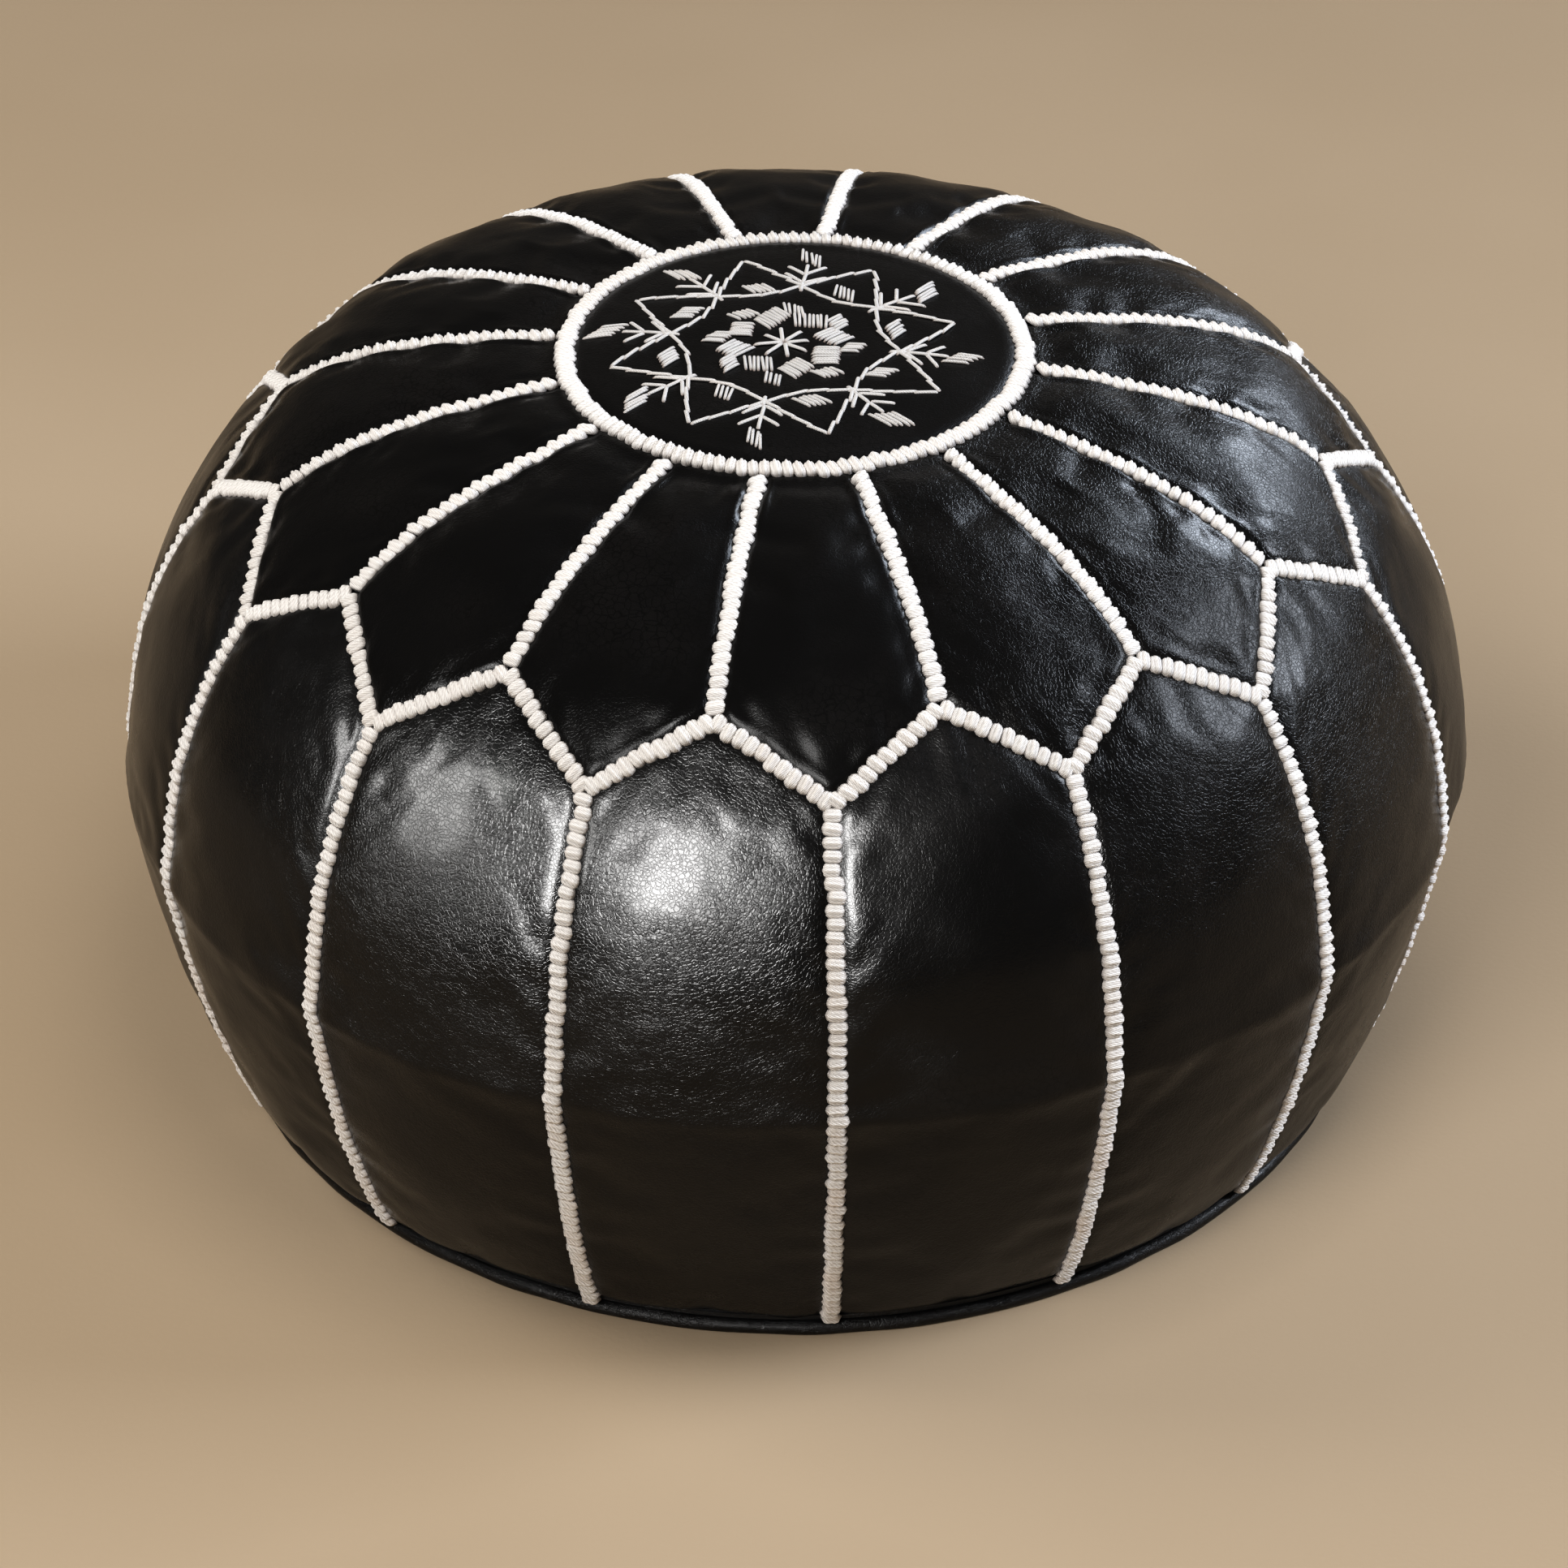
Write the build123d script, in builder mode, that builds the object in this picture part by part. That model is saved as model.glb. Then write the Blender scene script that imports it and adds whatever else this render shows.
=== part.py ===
"""A round leather pouf: sixteen pointed top panels and sixteen side panels sewn round an embroidered
medallion, over a lining and a filling, on a base of two half discs that a zip closes.

Millimetres. +Z is up, the origin is the middle of the base on the floor, and a radial seam lies on +X.
"""

import math
import os

from build123d import *

os.makedirs("parts", exist_ok=True)

# ---- Cover: driving dimensions ------------------------------------------------------------------
PANELS = 16
STEP = 360 / PANELS

KNEE_R = 270.0  # the widest place, where the side panels fold inwards
KNEE_Z = 130.0
KNEE_LEAN = 0.17  # how far the outline leans outwards above the knee, and inwards below it
CROWN_Z = 302.0
RING_R = 89.5  # the middle of the ring of stitches round the medallion
RING_Z = 298.8
PEAK_R, PEAK_Z = 206.0, 265.0  # the zigzag seam's high points, at the ends of the radial seams
VALLEY_R, VALLEY_Z = 229.0, 241.0  # its low points, where the side seams start
SHOULDER_R, SHOULDER_Z = 258.5, 188.0
TUCK_R, TUCK_Z = 254.0, 52.0
FOOT_R, FOOT_Z = 237.0, 5.5  # the lower edge of the side panels
END_R, END_Z = 234.0, 0.0  # where the outline would meet the floor

LEATHER = 2.0
LINING_GAP = 0.2
LINING = 0.6
FILLING_GAP = 0.4

# ---- Seams and embroidery -----------------------------------------------------------------------
SEAM_W = 6.0
SEAM_H = 2.4
SEAM_ROUND = 1.4
SEAM_JOIN = 5.8  # how far short of the zigzag's corners the straight seams stop
RING_W = 9.0
MOTIF_H = 0.9
MOTIF_TURN = 21.35  # the angle of the star's first point, degrees
MOTIF_SHIFT = (-1.0, 2.0)
THREAD_W = 1.8
STAR_R, STAR_WAIST_R, STAR_NODE_R = 69.0, 38.0, 41.0
SPRIG_END_R = 62.0
SPRIG_BRANCHES_R = (45.0, 53.0)
SPRIG_BRANCH_L = 9.0
SPRIG_BRANCH_ANGLE = 42.0
SPRIG_TIP_R, SPRIG_TIP_L, SPRIG_TIP_W = 69.5, 15.0, 5.0
POINT_LOZENGE_R, POINT_LOZENGE_L, POINT_LOZENGE_W = 48.0, 12.0, 5.0
NODE_LOZENGE_R, NODE_LOZENGE_L, NODE_LOZENGE_W = 29.5, 11.0, 5.0
SATIN_R, SATIN_L = 21.5, 10.0
CENTRE_RAY_L = 10.0

# ---- Base ---------------------------------------------------------------------------------------
PIPING_R = 3.0
PIPING_RING_R = 235.0
PIPING_SINK = 0.5  # how far the piping's round is pressed flat on the floor
BASE_Z = 2 * PIPING_R - PIPING_SINK
BASE_R = 234.4
ZIP_SLOT_HALF_W = 8.0
ZIP_SLOT_L = 312.0

# ---- Zip ----------------------------------------------------------------------------------------
TAPE_T = 0.6
TAPE_Z = BASE_Z + LEATHER + TAPE_T / 2  # the middle of the tape
TAPE_OUTER_Y = 17.0
TAPE_L = 330.0
TEETH_L = 300.0
TOOTH_PITCH = 3.0
TOOTH_L = 1.7
TOOTH_INNER_Y, TOOTH_OUTER_Y = 0.8, 3.6
TOOTH_ROOT_W = 1.1  # the strip along the tape's edge that the teeth stand on
TOOTH_H = 2.6
STOP_L = 3.0
SLIDER_L = 14.0
SLIDER_HALF_W = 5.2
WING_T = 1.3
CHANNEL_H = 3.2
CHANNEL_HALF_W = 4.1
TAPE_SLOT_H = 1.4
BRIDGE_T = 0.9
BRIDGE_L = 3.0
SLIDER_X = TEETH_L / 2 - 1.0 - SLIDER_L / 2  # where the slider stands when the zip is closed
LOOP_L = 8.0
LOOP_DROP = 3.4
LOOP_T = 1.1
LOOP_W = 2.0
PULL_L = 30.0
PULL_W = 7.4
PULL_T = 1.4
PULL_BAR = 1.2
PULL_EYE_L = 4.6
WING_BOTTOM_Z = TAPE_Z - CHANNEL_H / 2 - WING_T
PULL_AXIS_Z = WING_BOTTOM_Z - (LOOP_DROP - LOOP_T) / 2

# ---- Filling ------------------------------------------------------------------------------------
FILLING_FLOOR_Z = TAPE_Z + TAPE_T / 2 + 0.6
GROOVE_HALF_W = 7.5
GROOVE_TOP_Z = TAPE_Z + CHANNEL_H / 2 + WING_T + 1.2


# ---- The outline of the cover -------------------------------------------------------------------
# Points are (distance from the axis, height).
UPPER = Spline(
    (0, CROWN_Z),
    (RING_R, RING_Z),
    (PEAK_R, PEAK_Z),
    (VALLEY_R, VALLEY_Z),
    (SHOULDER_R, SHOULDER_Z),
    (KNEE_R, KNEE_Z),
    tangents=[(1, 0), (KNEE_LEAN, -1)],
)
LOWER = Spline(
    (KNEE_R, KNEE_Z),
    (TUCK_R, TUCK_Z),
    (FOOT_R, FOOT_Z),
    (END_R, END_Z),
    tangents=[(-KNEE_LEAN, -1), (-0.75, -1)],
)


def moved_in(edge, inset, count):
    """Points along an edge of the outline, each moved inwards by inset, square to the outline."""
    points = []
    for i in range(count + 1):
        place, along = edge @ (i / count), edge % (i / count)
        outwards = Vector(-along.Y, along.X)
        points.append(place - outwards * inset)
    return points


def outline(inset):
    """The cover's outline with the axis, closed, when the outline is moved inwards by inset."""
    knee = Vector(KNEE_R - inset, KNEE_Z)
    with BuildLine() as edges:
        if inset == 0:
            add([UPPER, LOWER])
            start, end = UPPER @ 0, LOWER @ 1
        else:
            above = moved_in(UPPER, inset, 12)[:-1] + [knee]
            below = [knee] + moved_in(LOWER, inset, 6)[1:]
            Spline(*above, tangents=[(1, 0), (KNEE_LEAN, -1)])
            Spline(*below, tangents=[(-KNEE_LEAN, -1), (-0.75, -1)])
            start, end = above[0], below[-1]
        Polyline(end, (0, end.Y), start)
    return edges.edges()


def keep_box(low, high):
    """In a sketch: keeps only what lies between two corners."""
    middle = ((low[0] + high[0]) / 2, (low[1] + high[1]) / 2)
    with Locations(middle):
        Rectangle(high[0] - low[0], high[1] - low[1], mode=Mode.INTERSECT)


def meridian(angle):
    """The upright plane through the axis at an angle: x runs outwards and y runs up."""
    a = math.radians(angle)
    return Plane((0, 0, 0), x_dir=(math.cos(a), math.sin(a), 0), z_dir=(math.sin(a), -math.cos(a), 0))


def at(radius, angle, height):
    a = math.radians(angle)
    return Vector(radius * math.cos(a), radius * math.sin(a), height)


def zigzag_plane(seam_angle, valley_angle):
    """The plane that cuts square through the cover along one leg of the zigzag; its normal points up."""
    peak, valley = at(PEAK_R, seam_angle, PEAK_Z), at(VALLEY_R, valley_angle, VALLEY_Z)
    middle_angle = (seam_angle + valley_angle) / 2
    slope = Vector(VALLEY_R - PEAK_R, VALLEY_Z - PEAK_Z)
    outwards = at(-slope.Y, middle_angle, slope.X)
    normal = (valley - peak).cross(outwards)
    if normal.Z < 0:
        normal = -normal
    return Plane(peak, z_dir=normal)


def save(built, name):
    built.part.label = name
    export_step(built.part, f"parts/{name}.step")


# ---- Leather cover ------------------------------------------------------------------------------
with BuildPart() as medallion:
    with BuildSketch(meridian(0)):
        make_face(outline(0))
        make_face(outline(LEATHER), mode=Mode.SUBTRACT)
        keep_box((0, 200), (RING_R, 310))
    revolve(axis=Axis.Z)
save(medallion, "medallion")

for number in range(PANELS):
    middle = (number + 0.5) * STEP
    with BuildPart() as top_panel:
        with BuildSketch(meridian(middle - STEP / 2)):
            make_face(outline(0))
            make_face(outline(LEATHER), mode=Mode.SUBTRACT)
            keep_box((RING_R, 200), (KNEE_R, 310))
        revolve(axis=Axis.Z, revolution_arc=STEP)
        split(bisect_by=zigzag_plane(middle - STEP / 2, middle), keep=Keep.TOP)
        split(bisect_by=zigzag_plane(middle + STEP / 2, middle), keep=Keep.TOP)
    save(top_panel, f"top_panel_{number + 1:02d}")

for number in range(PANELS):
    middle = number * STEP
    with BuildPart() as side_panel:
        with BuildSketch(meridian(middle - STEP / 2)):
            make_face(outline(0))
            make_face(outline(LEATHER), mode=Mode.SUBTRACT)
            keep_box((PEAK_R - 20, FOOT_Z), (KNEE_R + 1, PEAK_Z + 20))
        revolve(axis=Axis.Z, revolution_arc=STEP)
        split(bisect_by=zigzag_plane(middle, middle - STEP / 2), keep=Keep.BOTTOM)
        split(bisect_by=zigzag_plane(middle, middle + STEP / 2), keep=Keep.BOTTOM)
    save(side_panel, f"side_panel_{number + 1:02d}")

# ---- Seam stitching, as raised bands that follow the leather -------------------------------------
with BuildPart() as medallion_ring_stitching:
    with BuildSketch(meridian(0)):
        make_face(outline(-SEAM_H))
        make_face(outline(0), mode=Mode.SUBTRACT)
        keep_box((RING_R - RING_W / 2, 200), (RING_R + RING_W / 2, 310))
    revolve(axis=Axis.Z)
    fillet(medallion_ring_stitching.edges().group_by(Axis.Z)[-1], SEAM_ROUND)
save(medallion_ring_stitching, "medallion_ring_stitching")


def straight_seam(angle, low, high):
    """One raised band along a meridian, as wide everywhere."""
    with BuildPart() as seam:
        with BuildSketch(meridian(angle)):
            make_face(outline(-SEAM_H))
            make_face(outline(0), mode=Mode.SUBTRACT)
            keep_box(low, high)
        extrude(amount=SEAM_W / 2, both=True)
    return seam.part


def zigzag_leg(leg):
    """One leg of the zigzag's raised band, between a radial seam and the next side seam."""
    seam_angle = (leg + 1) // 2 * STEP
    valley_angle = (leg // 2 + 0.5) * STEP
    cut = zigzag_plane(seam_angle, valley_angle)
    with BuildPart() as band:
        with BuildSketch(meridian(leg * STEP / 2)):
            make_face(outline(-SEAM_H))
            make_face(outline(0), mode=Mode.SUBTRACT)
            keep_box((PEAK_R - 20, VALLEY_Z - 20), (KNEE_R, PEAK_Z + 20))
        revolve(axis=Axis.Z, revolution_arc=STEP / 2)
        split(bisect_by=cut.offset(SEAM_W / 2), keep=Keep.BOTTOM)
        split(bisect_by=cut.offset(-SEAM_W / 2), keep=Keep.TOP)
    return band.part


radial_seam = straight_seam(0, (RING_R + RING_W / 2 + 0.2, 200), (PEAK_R - SEAM_JOIN, 310))
with BuildPart() as radial_seam_stitching:
    with PolarLocations(0, PANELS):
        add(radial_seam)
save(radial_seam_stitching, "radial_seam_stitching")

side_seam = straight_seam(STEP / 2, (FOOT_R - 5, FOOT_Z + 1), (KNEE_R + 5, VALLEY_Z - SEAM_JOIN))
with BuildPart() as side_seam_stitching:
    with PolarLocations(0, PANELS):
        add(side_seam)
save(side_seam_stitching, "side_seam_stitching")

with BuildPart() as zigzag_seam_stitching:
    for leg in range(2 * PANELS):
        add(zigzag_leg(leg))
save(zigzag_seam_stitching, "zigzag_seam_stitching")


# ---- Embroidery on the medallion ----------------------------------------------------------------
def around(radius, angle):
    """A point of the motif, whose angles start at the star's first point."""
    a = math.radians(angle)
    return (radius * math.cos(a), radius * math.sin(a))


def thread(start, end):
    """In a sketch: one straight line of thread with round ends."""
    run, rise = end[0] - start[0], end[1] - start[1]
    middle = (start[0] + run / 2, start[1] + rise / 2, 0)
    turn = (0, 0, math.degrees(math.atan2(rise, run)))
    with Locations(Location(middle, turn)):
        SlotCenterToCenter(math.hypot(run, rise), THREAD_W)


def lozenge(radius, angle, length, width):
    """In a sketch: a lozenge whose length lies along the radius."""
    with Locations(Location((*around(radius, angle), 0), (0, 0, angle))):
        Polygon((-length / 2, 0), (0, -width / 2), (length / 2, 0), (0, width / 2))


def star_side(angle):
    """In a sketch: one side of the eight-pointed star, bowed inwards, from a point to the next but one."""
    with BuildLine() as side:
        ThreePointArc(around(STAR_R, angle), around(STAR_WAIST_R, angle + 45), around(STAR_R, angle + 90))
    trace(side.edges(), THREAD_W)


def sprig(angle):
    """In a sketch: a stem with side branches and a pointed tip."""
    thread(around(STAR_NODE_R, angle), around(SPRIG_END_R, angle))
    for foot_r in SPRIG_BRANCHES_R:
        foot = around(foot_r, angle)
        for lean in (-SPRIG_BRANCH_ANGLE, SPRIG_BRANCH_ANGLE):
            out = around(SPRIG_BRANCH_L, angle + lean)
            thread(foot, (foot[0] + out[0], foot[1] + out[1]))
    lozenge(SPRIG_TIP_R, angle, SPRIG_TIP_L, SPRIG_TIP_W)


with BuildPart() as medallion_embroidery:
    with BuildSketch(meridian(0)):
        make_face(outline(-MOTIF_H))
        make_face(outline(0), mode=Mode.SUBTRACT)
        keep_box((0, 200), (RING_R - RING_W / 2 - 0.2, 310))
    revolve(axis=Axis.Z)
    with BuildSketch(Plane.XY.offset(CROWN_Z - 20)):
        with Locations(Location((*MOTIF_SHIFT, 0), (0, 0, MOTIF_TURN))):
            for turn in range(0, 360, 45):
                star_side(turn)
                sprig(turn + 22.5)
                thread((0, 0), around(CENTRE_RAY_L, turn))
                lozenge(POINT_LOZENGE_R, turn, POINT_LOZENGE_L, POINT_LOZENGE_W)
                lozenge(NODE_LOZENGE_R, turn + 22.5, NODE_LOZENGE_L, NODE_LOZENGE_W)
                with Locations(Location((*around(SATIN_R, turn), 0), (0, 0, turn))):
                    Rectangle(SATIN_L, SATIN_L)
    extrude(amount=30, mode=Mode.INTERSECT)
save(medallion_embroidery, "medallion_embroidery")

# ---- Base ---------------------------------------------------------------------------------------
with BuildPart() as base_piping:
    with BuildSketch(meridian(0)):
        with Locations((PIPING_RING_R, PIPING_R - PIPING_SINK)):
            Circle(PIPING_R)
        keep_box((PIPING_RING_R - PIPING_R, 0), (PIPING_RING_R + PIPING_R, BASE_Z))
    revolve(axis=Axis.Z)
save(base_piping, "base_piping")

for side, name in ((-1, "base_half_front"), (1, "base_half_back")):
    with BuildPart() as base_half:
        with BuildSketch(Plane.XY.offset(BASE_Z)):
            Circle(BASE_R)
            keep_box((-BASE_R, min(0, side * BASE_R)), (BASE_R, max(0, side * BASE_R)))
            SlotOverall(ZIP_SLOT_L, 2 * ZIP_SLOT_HALF_W, mode=Mode.SUBTRACT)
        extrude(amount=LEATHER)
    save(base_half, name)

# ---- Zip ----------------------------------------------------------------------------------------
for side, name in ((-1, "front"), (1, "back")):
    with BuildPart() as zip_tape:
        with Locations((0, side * (TOOTH_OUTER_Y + TAPE_OUTER_Y) / 2, TAPE_Z)):
            Box(TAPE_L, TAPE_OUTER_Y - TOOTH_OUTER_Y, TAPE_T)
    save(zip_tape, f"zip_tape_{name}")

    with BuildPart() as zip_teeth:
        with BuildSketch(Plane.XY.offset(TAPE_Z - TOOTH_H / 2)):
            with Locations((side * TOOTH_PITCH / 4, side * (TOOTH_INNER_Y + TOOTH_OUTER_Y) / 2)):
                with GridLocations(TOOTH_PITCH, 1, int(TEETH_L / TOOTH_PITCH) - 1, 1):
                    Rectangle(TOOTH_L, TOOTH_OUTER_Y - TOOTH_INNER_Y)
            with Locations((0, side * (TOOTH_OUTER_Y - TOOTH_ROOT_W / 2))):
                Rectangle(TEETH_L, TOOTH_ROOT_W)
        extrude(amount=TOOTH_H)
    save(zip_teeth, f"zip_teeth_{name}")

with BuildPart() as zip_stops:
    with Locations((-(TEETH_L + STOP_L) / 2, 0, TAPE_Z), ((TEETH_L + STOP_L) / 2, 0, TAPE_Z)):
        Box(STOP_L, 2 * TOOTH_OUTER_Y, TOOTH_H)
    fillet(zip_stops.edges().filter_by(Axis.Z), 0.8)
save(zip_stops, "zip_stops")

LEAN_OUT = (CHANNEL_H - TAPE_SLOT_H) / 2

with BuildPart() as zip_slider:
    for wing_z in (WING_BOTTOM_Z, TAPE_Z + CHANNEL_H / 2):
        with BuildSketch(Plane.XY.offset(wing_z)):
            with Locations((SLIDER_X, 0)):
                RectangleRounded(SLIDER_L, 2 * SLIDER_HALF_W, 2.2)
        extrude(amount=WING_T)
    for lip_z in (TAPE_Z - CHANNEL_H / 2, TAPE_Z + TAPE_SLOT_H / 2):
        with BuildSketch(Plane.XY.offset(lip_z)):
            with Locations((SLIDER_X, 0)):
                RectangleRounded(SLIDER_L, 2 * SLIDER_HALF_W, 2.2)
                Rectangle(SLIDER_L, 2 * CHANNEL_HALF_W, mode=Mode.SUBTRACT)
        extrude(amount=LEAN_OUT)
    with Locations((SLIDER_X + (SLIDER_L - BRIDGE_L) / 2 - 0.5, 0, TAPE_Z)):
        Box(BRIDGE_L, BRIDGE_T, CHANNEL_H)
    with BuildSketch(Plane.XZ.offset(-LOOP_W / 2)):
        with Locations((SLIDER_X, WING_BOTTOM_Z - LOOP_DROP / 2)):
            Rectangle(LOOP_L, LOOP_DROP)
        with Locations((SLIDER_X, WING_BOTTOM_Z - (LOOP_DROP - LOOP_T) / 2)):
            Rectangle(LOOP_L - 2 * LOOP_T, LOOP_DROP - LOOP_T, mode=Mode.SUBTRACT)
    extrude(amount=LOOP_W)
save(zip_slider, "zip_slider")

with BuildPart() as zip_pull:
    with BuildSketch(Plane.XY.offset(PULL_AXIS_Z - PULL_T / 2)):
        with Locations((SLIDER_X + PULL_BAR / 2 - PULL_L / 2, 0)):
            RectangleRounded(PULL_L, PULL_W, 1.6)
        with Locations((SLIDER_X - PULL_BAR / 2 - PULL_EYE_L / 2, 0)):
            Rectangle(PULL_EYE_L, PULL_W - 2 * PULL_BAR, mode=Mode.SUBTRACT)
        with Locations((SLIDER_X - PULL_L + 5, 0)):
            SlotOverall(5, 2.4, rotation=90, mode=Mode.SUBTRACT)
    extrude(amount=PULL_T)
save(zip_pull, "zip_pull")

# ---- Lining and filling --------------------------------------------------------------------------
LINING_INSET = LEATHER + LINING_GAP

with BuildPart() as inner_lining:
    with BuildSketch(meridian(0)):
        make_face(outline(LINING_INSET))
        make_face(outline(LINING_INSET + LINING), mode=Mode.SUBTRACT)
        keep_box((0, BASE_Z + LEATHER + LINING_GAP), (KNEE_R, CROWN_Z))
    revolve(axis=Axis.Z)
save(inner_lining, "inner_lining")

with BuildPart() as filling:
    with BuildSketch(meridian(0)):
        make_face(outline(LINING_INSET + LINING + FILLING_GAP))
        keep_box((0, FILLING_FLOOR_Z), (KNEE_R, CROWN_Z))
    revolve(axis=Axis.Z)
    with Locations((0, 0, FILLING_FLOOR_Z)):
        Box(ZIP_SLOT_L + 10, 2 * GROOVE_HALF_W, 2 * (GROOVE_TOP_Z - FILLING_FLOOR_Z), mode=Mode.SUBTRACT)
save(filling, "filling")
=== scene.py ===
"""The visible leather pouf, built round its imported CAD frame, as an add-on with one operator a piece."""

import math
import random

import bpy
import numpy as np
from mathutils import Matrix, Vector, noise


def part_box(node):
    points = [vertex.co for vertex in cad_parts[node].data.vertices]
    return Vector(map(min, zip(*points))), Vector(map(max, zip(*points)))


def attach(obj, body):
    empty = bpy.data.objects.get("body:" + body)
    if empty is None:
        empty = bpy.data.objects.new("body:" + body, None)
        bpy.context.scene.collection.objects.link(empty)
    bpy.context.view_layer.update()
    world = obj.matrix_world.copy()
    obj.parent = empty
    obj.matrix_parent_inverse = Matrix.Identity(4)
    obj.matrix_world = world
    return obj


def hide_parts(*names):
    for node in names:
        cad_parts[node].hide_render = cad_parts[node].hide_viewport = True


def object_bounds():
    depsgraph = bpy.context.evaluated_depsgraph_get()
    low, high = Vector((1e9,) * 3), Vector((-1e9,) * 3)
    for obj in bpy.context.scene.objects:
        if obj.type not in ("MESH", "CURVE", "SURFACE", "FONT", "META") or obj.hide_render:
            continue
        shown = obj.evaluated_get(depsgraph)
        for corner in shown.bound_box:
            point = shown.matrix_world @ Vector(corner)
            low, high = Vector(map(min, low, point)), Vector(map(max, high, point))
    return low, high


bl_info = {
    "name": "Leather Pouf",
    "version": (1, 0, 0),
    "blender": (4, 5, 0),
    "location": "View3D > Sidebar > Pouf",
    "description": "Builds a stuffed leather pouf with hand-sewn seams round its CAD frame",
    "category": "Object",
}

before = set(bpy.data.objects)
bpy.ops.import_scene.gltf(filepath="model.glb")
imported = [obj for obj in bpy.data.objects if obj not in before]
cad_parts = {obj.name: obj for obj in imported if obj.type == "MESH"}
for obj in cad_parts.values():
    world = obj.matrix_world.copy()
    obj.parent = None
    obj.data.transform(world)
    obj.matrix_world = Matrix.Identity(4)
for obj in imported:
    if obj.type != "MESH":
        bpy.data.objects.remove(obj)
CAD_BOX = [list(corner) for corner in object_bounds()]
MM = 0.001

# ---- The cover's outline, taken from the frame where it can be ------------------------------------
PANELS = 16
STEP = 2 * math.pi / PANELS
KNEE_R = CAD_BOX[1][0]
CROWN = (0.0, 302.0 * MM)
RING = (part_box("medallion")[1].x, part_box("medallion")[0].z + 2.1 * MM)
PEAK = (206.0 * MM, 265.0 * MM)
VALLEY = (229.0 * MM, 241.0 * MM)
SHOULDER = (258.5 * MM, 188.0 * MM)
KNEE = (KNEE_R, 130.0 * MM)
TUCK = (254.0 * MM, 52.0 * MM)
FOOT = (237.0 * MM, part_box("side_panel_01")[0].z)
KNEE_LEAN = 0.17
FOOT_LEAN = 0.5
LEATHER = 2.0 * MM
AXIS_GAP = 0.2 * MM  # round skins start this far from the axis and are closed there
ROUND_COLUMNS = 128  # points round the medallion, the lining and the filling
MEDALLION_ROWS, INSIDE_ROWS = 41, 61
# How the settled filling changes the radius: share of it, lobes round the pouf and their turn
SETTLED_SIZE = 0.998
SETTLED = ((0.004, 1, math.radians(-52)), (0.004, 2, 1.1), (0.003, 3, -0.6))


def unit(rows):
    """Directions of length one."""
    return rows / np.linalg.norm(rows, axis=-1, keepdims=True)


def travelled(points):
    """How far along a line of points each one is."""
    return np.concatenate([[0], np.cumsum(np.linalg.norm(np.diff(points, axis=0), axis=1))])


def read_off(at, steps, rows):
    """Rows of numbers, read off between the steps at which they are given."""
    return np.stack([np.interp(at, steps, column) for column in rows.T], -1)


def tangents(points, first, last):
    """Directions for a smooth curve through points, with the first and last one given."""
    steps = np.linalg.norm(np.diff(points, axis=0), axis=1)
    slopes = np.diff(points, axis=0) / steps[:, None]
    inner = [(slopes[i] * steps[i + 1] + slopes[i + 1] * steps[i]) / (steps[i] + steps[i + 1])
             for i in range(len(slopes) - 1)]
    ends = [np.array(end) / np.linalg.norm(end) for end in (first, last)]
    return np.array([ends[0], *inner, ends[1]]), steps


def smooth_curve(points, first, last, samples=80):
    """Evenly filled Hermite curve through points."""
    points = np.array(points)
    slopes, steps = tangents(points, first, last)
    curve = []
    for i, step in enumerate(steps):
        t = np.linspace(0, 1, samples, endpoint=False)[:, None]
        curve.append(
            (2 * t**3 - 3 * t**2 + 1) * points[i]
            + (t**3 - 2 * t**2 + t) * step * slopes[i]
            + (3 * t**2 - 2 * t**3) * points[i + 1]
            + (t**3 - t**2) * step * slopes[i + 1]
        )
    return np.vstack([*curve, points[-1:]])


UPPER = smooth_curve([CROWN, RING, PEAK, VALLEY, SHOULDER, KNEE], (1, 0), (KNEE_LEAN, -1))
LOWER = smooth_curve([KNEE, TUCK, FOOT], (-KNEE_LEAN, -1), (-FOOT_LEAN, -1))
OUTLINE = np.vstack([UPPER, LOWER[1:]])
ARC = travelled(OUTLINE)


def arc_at(place):
    """How far along the outline one of its named places is."""
    return float(ARC[np.argmin(np.linalg.norm(OUTLINE - np.array(place), axis=1))])


RING_S, PEAK_S, VALLEY_S, KNEE_S, FOOT_S = (arc_at(p) for p in (RING, PEAK, VALLEY, KNEE, FOOT))


def outline_normals(samples=800, blend=6):
    """Outward normals of the outline, blended over a few millimetres so that the knee is a soft fold."""
    along = np.gradient(OUTLINE, ARC + np.arange(len(ARC)) * 1e-12, axis=0)
    even = np.linspace(0, ARC[-1], samples)
    out = read_off(even, ARC, np.stack([-along[:, 1], along[:, 0]], axis=1))
    window = np.hanning(2 * blend + 1) / np.hanning(2 * blend + 1).sum()
    padded = np.pad(out, ((blend, blend), (0, 0)), mode="edge")
    return even, unit(np.stack([np.convolve(column, window, mode="valid") for column in padded.T], axis=1))


NORMAL_ARC, NORMALS = outline_normals()


def cover_place(angle, arc):
    """Points on the cover and their outward normals, from angles and places along the outline."""
    angle, arc = np.broadcast_arrays(np.asarray(angle, float), np.asarray(arc, float))
    r, z = (np.interp(arc, ARC, OUTLINE[:, i]) for i in range(2))
    out, up = (np.interp(arc, NORMAL_ARC, NORMALS[:, i]) for i in range(2))
    settle = SETTLED_SIZE
    for share, lobes, turn in SETTLED:
        settle = settle + share * np.cos(lobes * angle - turn)
    cos, sin = np.cos(angle), np.sin(angle)
    return np.stack([r * settle * cos, r * settle * sin, z], -1), np.stack([out * cos, out * sin, up], -1)


# ---- Where the seams run -------------------------------------------------------------------------
ANGLE_DRIFT = 0.006  # radians
POINT_DRIFT = 2.5  # millimetres
LEG_BOW = 1.6 * MM
ZIGZAG_SLOPE = 0.82  # the zigzag runs at a slant, so a seam is nearer than a step along the outline

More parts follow.
